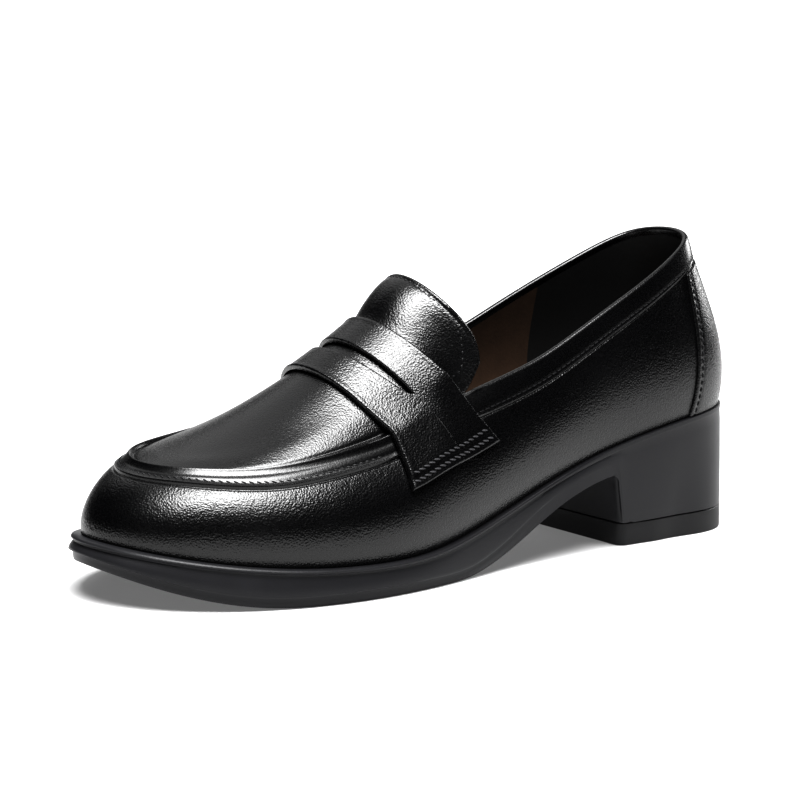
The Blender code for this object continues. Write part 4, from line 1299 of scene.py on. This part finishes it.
def make_stage():
    """A white floor that turns up into a backdrop far behind the shoe. Its white is partly painted light: the
    floor glows by emission, and this painted glow grows with the distance from the shoe, so the floor round
    the shoe stays darker. The glow ends short of the camera and beyond both sides of the picture."""
    azimuth = math.radians(CAMERA_AZIMUTH)
    away = np.array([-math.sin(azimuth), math.cos(azimuth)])
    side = np.array([away[1], -away[0]])
    profile = [(-3.0, 0.0), (2.2, 0.0)]
    bend = np.linspace(0, math.pi / 2, 13)[1:]
    profile += [(2.2 + 0.6 * math.sin(turn), 0.6 - 0.6 * math.cos(turn)) for turn in bend]
    profile += [(2.8, 1.0)]
    points = []
    for reach, up in profile:
        for across in (-4.0, 4.0):
            spot = away * reach + side * across
            points.append((spot[0], spot[1], up))
    faces = [(2 * k, 2 * k + 1, 2 * k + 3, 2 * k + 2) for k in range(len(profile) - 1)]
    mesh = bpy.data.meshes.new("floor")
    mesh.from_pydata(points, [], faces)
    mesh.shade_smooth()
    material, tree, shader, place = node_tree("floor_with_painted_glow")
    shader.inputs["Base Color"].default_value = (0.60, 0.60, 0.60, 1)
    shader.inputs["Roughness"].default_value = 0.9
    shader.inputs["Specular IOR Level"].default_value = 0.1
    # Painted light: the floor's emission is weakest round the shoe and fades out towards the camera and the
    # sides
    shader.inputs["Emission Color"].default_value = (1, 1, 1, 1)
    reach = add_node(tree, "ShaderNodeVectorMath", operation="LENGTH")
    tree.links.new(place, reach.inputs[0])
    painted_glow = ramp(tree, reach.outputs["Value"], 0.10, 1.0, 0.24, 1.0)
    for direction, dark, light in ((away, -0.45, -0.28), (side, -0.95, -0.62), (-side, -0.95, -0.62)):
        along = add_node(tree, "ShaderNodeVectorMath", operation="DOT_PRODUCT")
        tree.links.new(place, along.inputs[0])
        along.inputs[1].default_value = (direction[0], direction[1], 0)
        painted_glow = math_node(tree, "MULTIPLY", painted_glow, ramp(tree, along.outputs["Value"], dark, light))
    tree.links.new(painted_glow, shader.inputs["Emission Strength"])
    mesh.materials.append(material)
    floor = bpy.data.objects.new("floor", mesh)
    bpy.context.scene.collection.objects.link(floor)


def make_lights():
    """A key soft box over the lateral side, a small one behind the heel and a broad dim one over the
    medial side, in a dark room."""
    world = bpy.data.worlds.new("room")
    bpy.context.scene.world = world
    world.use_nodes = True
    air = world.node_tree.nodes["Background"]
    air.inputs["Color"].default_value = (1, 1, 1, 1)
    air.inputs["Strength"].default_value = 0.008
    area_light("key", (0.36, -0.24, 1.25), (0, -0.03, 0.04), (0.95, 0.68), 52)
    area_light("rim", (-0.20, 1.25, 0.50), (0, 0.08, 0.07), (0.35, 0.70), 8)
    area_light("back", (-0.95, 0.35, 1.25), (0, 0, 0.05), (1.4, 1.4), 7)
    view = bpy.context.scene.view_settings
    view.view_transform = "Standard"
    view.gamma = 0.71


def counter_path(side):
    """A row of stitching up one side of the heel counter, -1 or 1, and its normals."""
    ups = np.linspace(0.01, 0.985, 80)
    turn = side * (1 - COUNTER_STITCH_IN / (COUNTER_LOW + (COUNTER_HIGH - COUNTER_LOW) * ups))
    out = np.full_like(ups, GAP + COUNTER_FINE - 0.00015)
    path = counter_point(turn, ups, out)
    return path, unit(path - counter_point(turn, ups, out - 0.001))


def make_stitching(sheet):
    """Stitching of the apron seam, the collar band, the heel counter, the strap's ends and the tongue. A
    row has a pitch and its threads' length and radius in metres, and their tilt in degrees."""
    start, reach = place_of_top(0.66), place_of_top(0.56)
    places = np.linspace(start, 2 * HALF - start, 900)
    seam = wall_path(places, band_width(places) - SEAM_STITCH_UP)
    places = np.linspace(-reach, reach, 900)
    band = wall_path(places, np.full_like(places, COLLAR_BAND_WIDTH - COLLAR_STITCH_UP))
    counter = [counter_path(-1), counter_path(1)]
    strap, tongue = strap_paths(sheet), [tongue_path()]
    for name, paths, sizes, node, slot, material in (
            ("seam", [seam], (0.0023, 0.0018, 0.00021, 24), "upper", "upper_leather", THREAD),
            ("collar", [band], (0.0023, 0.0019, 0.00018, 0), "upper", "upper_leather", THREAD),
            ("counter", counter, (0.0024, 0.0018, 0.00024, 0), "heel_counter", "counter_leather", THREAD),
            ("strap", strap, (0.0022, 0.0024, 0.00032, 26), "saddle_strap", "strap_leather", PALE_THREAD),
            ("tongue", tongue, (0.0022, 0.0013, 0.00030, 0), "tongue", "tongue_leather", THREAD)):
        add_mesh(name + "_stitches", *stitches(paths, *sizes), node, slot, material, merge=False)


LEATHER = leather("upper_leather", graded=True)
TRIM = leather("trim_leather", graded=False)
LINING = lining("lining_leather")
SOLE = rubber("sole_rubber", (0.020, 0.020, 0.022), 0.36)
HEEL = rubber("heel_rubber", (0.015, 0.015, 0.016), 0.45)
THREAD = thread("black_thread", (0.010, 0.010, 0.011))
PALE_THREAD = thread("grey_thread", (0.045, 0.045, 0.048))

points, faces, grain = make_upper()
add_mesh("upper_leather", points, faces, "upper", "upper_leather", LEATHER, grain)
add_mesh("upper_lining", *make_lining(), "upper", "insole_leather", LINING)
sheet = strap_sheet()
add_mesh("saddle_strap_fine", *make_saddle_strap(sheet), "saddle_strap", "strap_leather", TRIM)
add_mesh("tongue_fine", *make_tongue(), "tongue", "tongue_leather", TRIM)
add_mesh("heel_counter_fine", *make_heel_counter(), "heel_counter", "counter_leather", TRIM)
add_mesh("insole_fine", *make_insole(), "insole", "insole_leather", LINING)
add_mesh("sole_unit_fine", *make_sole(), "sole_unit", "sole_rubber", SOLE)
add_mesh("top_lift_fine", *make_top_lift(), "top_lift", "heel_rubber", HEEL)
make_stitching(sheet)
for item in bpy.data.objects:
    if item.type == "MESH" and "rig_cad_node" not in item:
        item.data.set_sharp_from_angle(angle=math.radians(38))

make_stage()
make_lights()
make_camera()
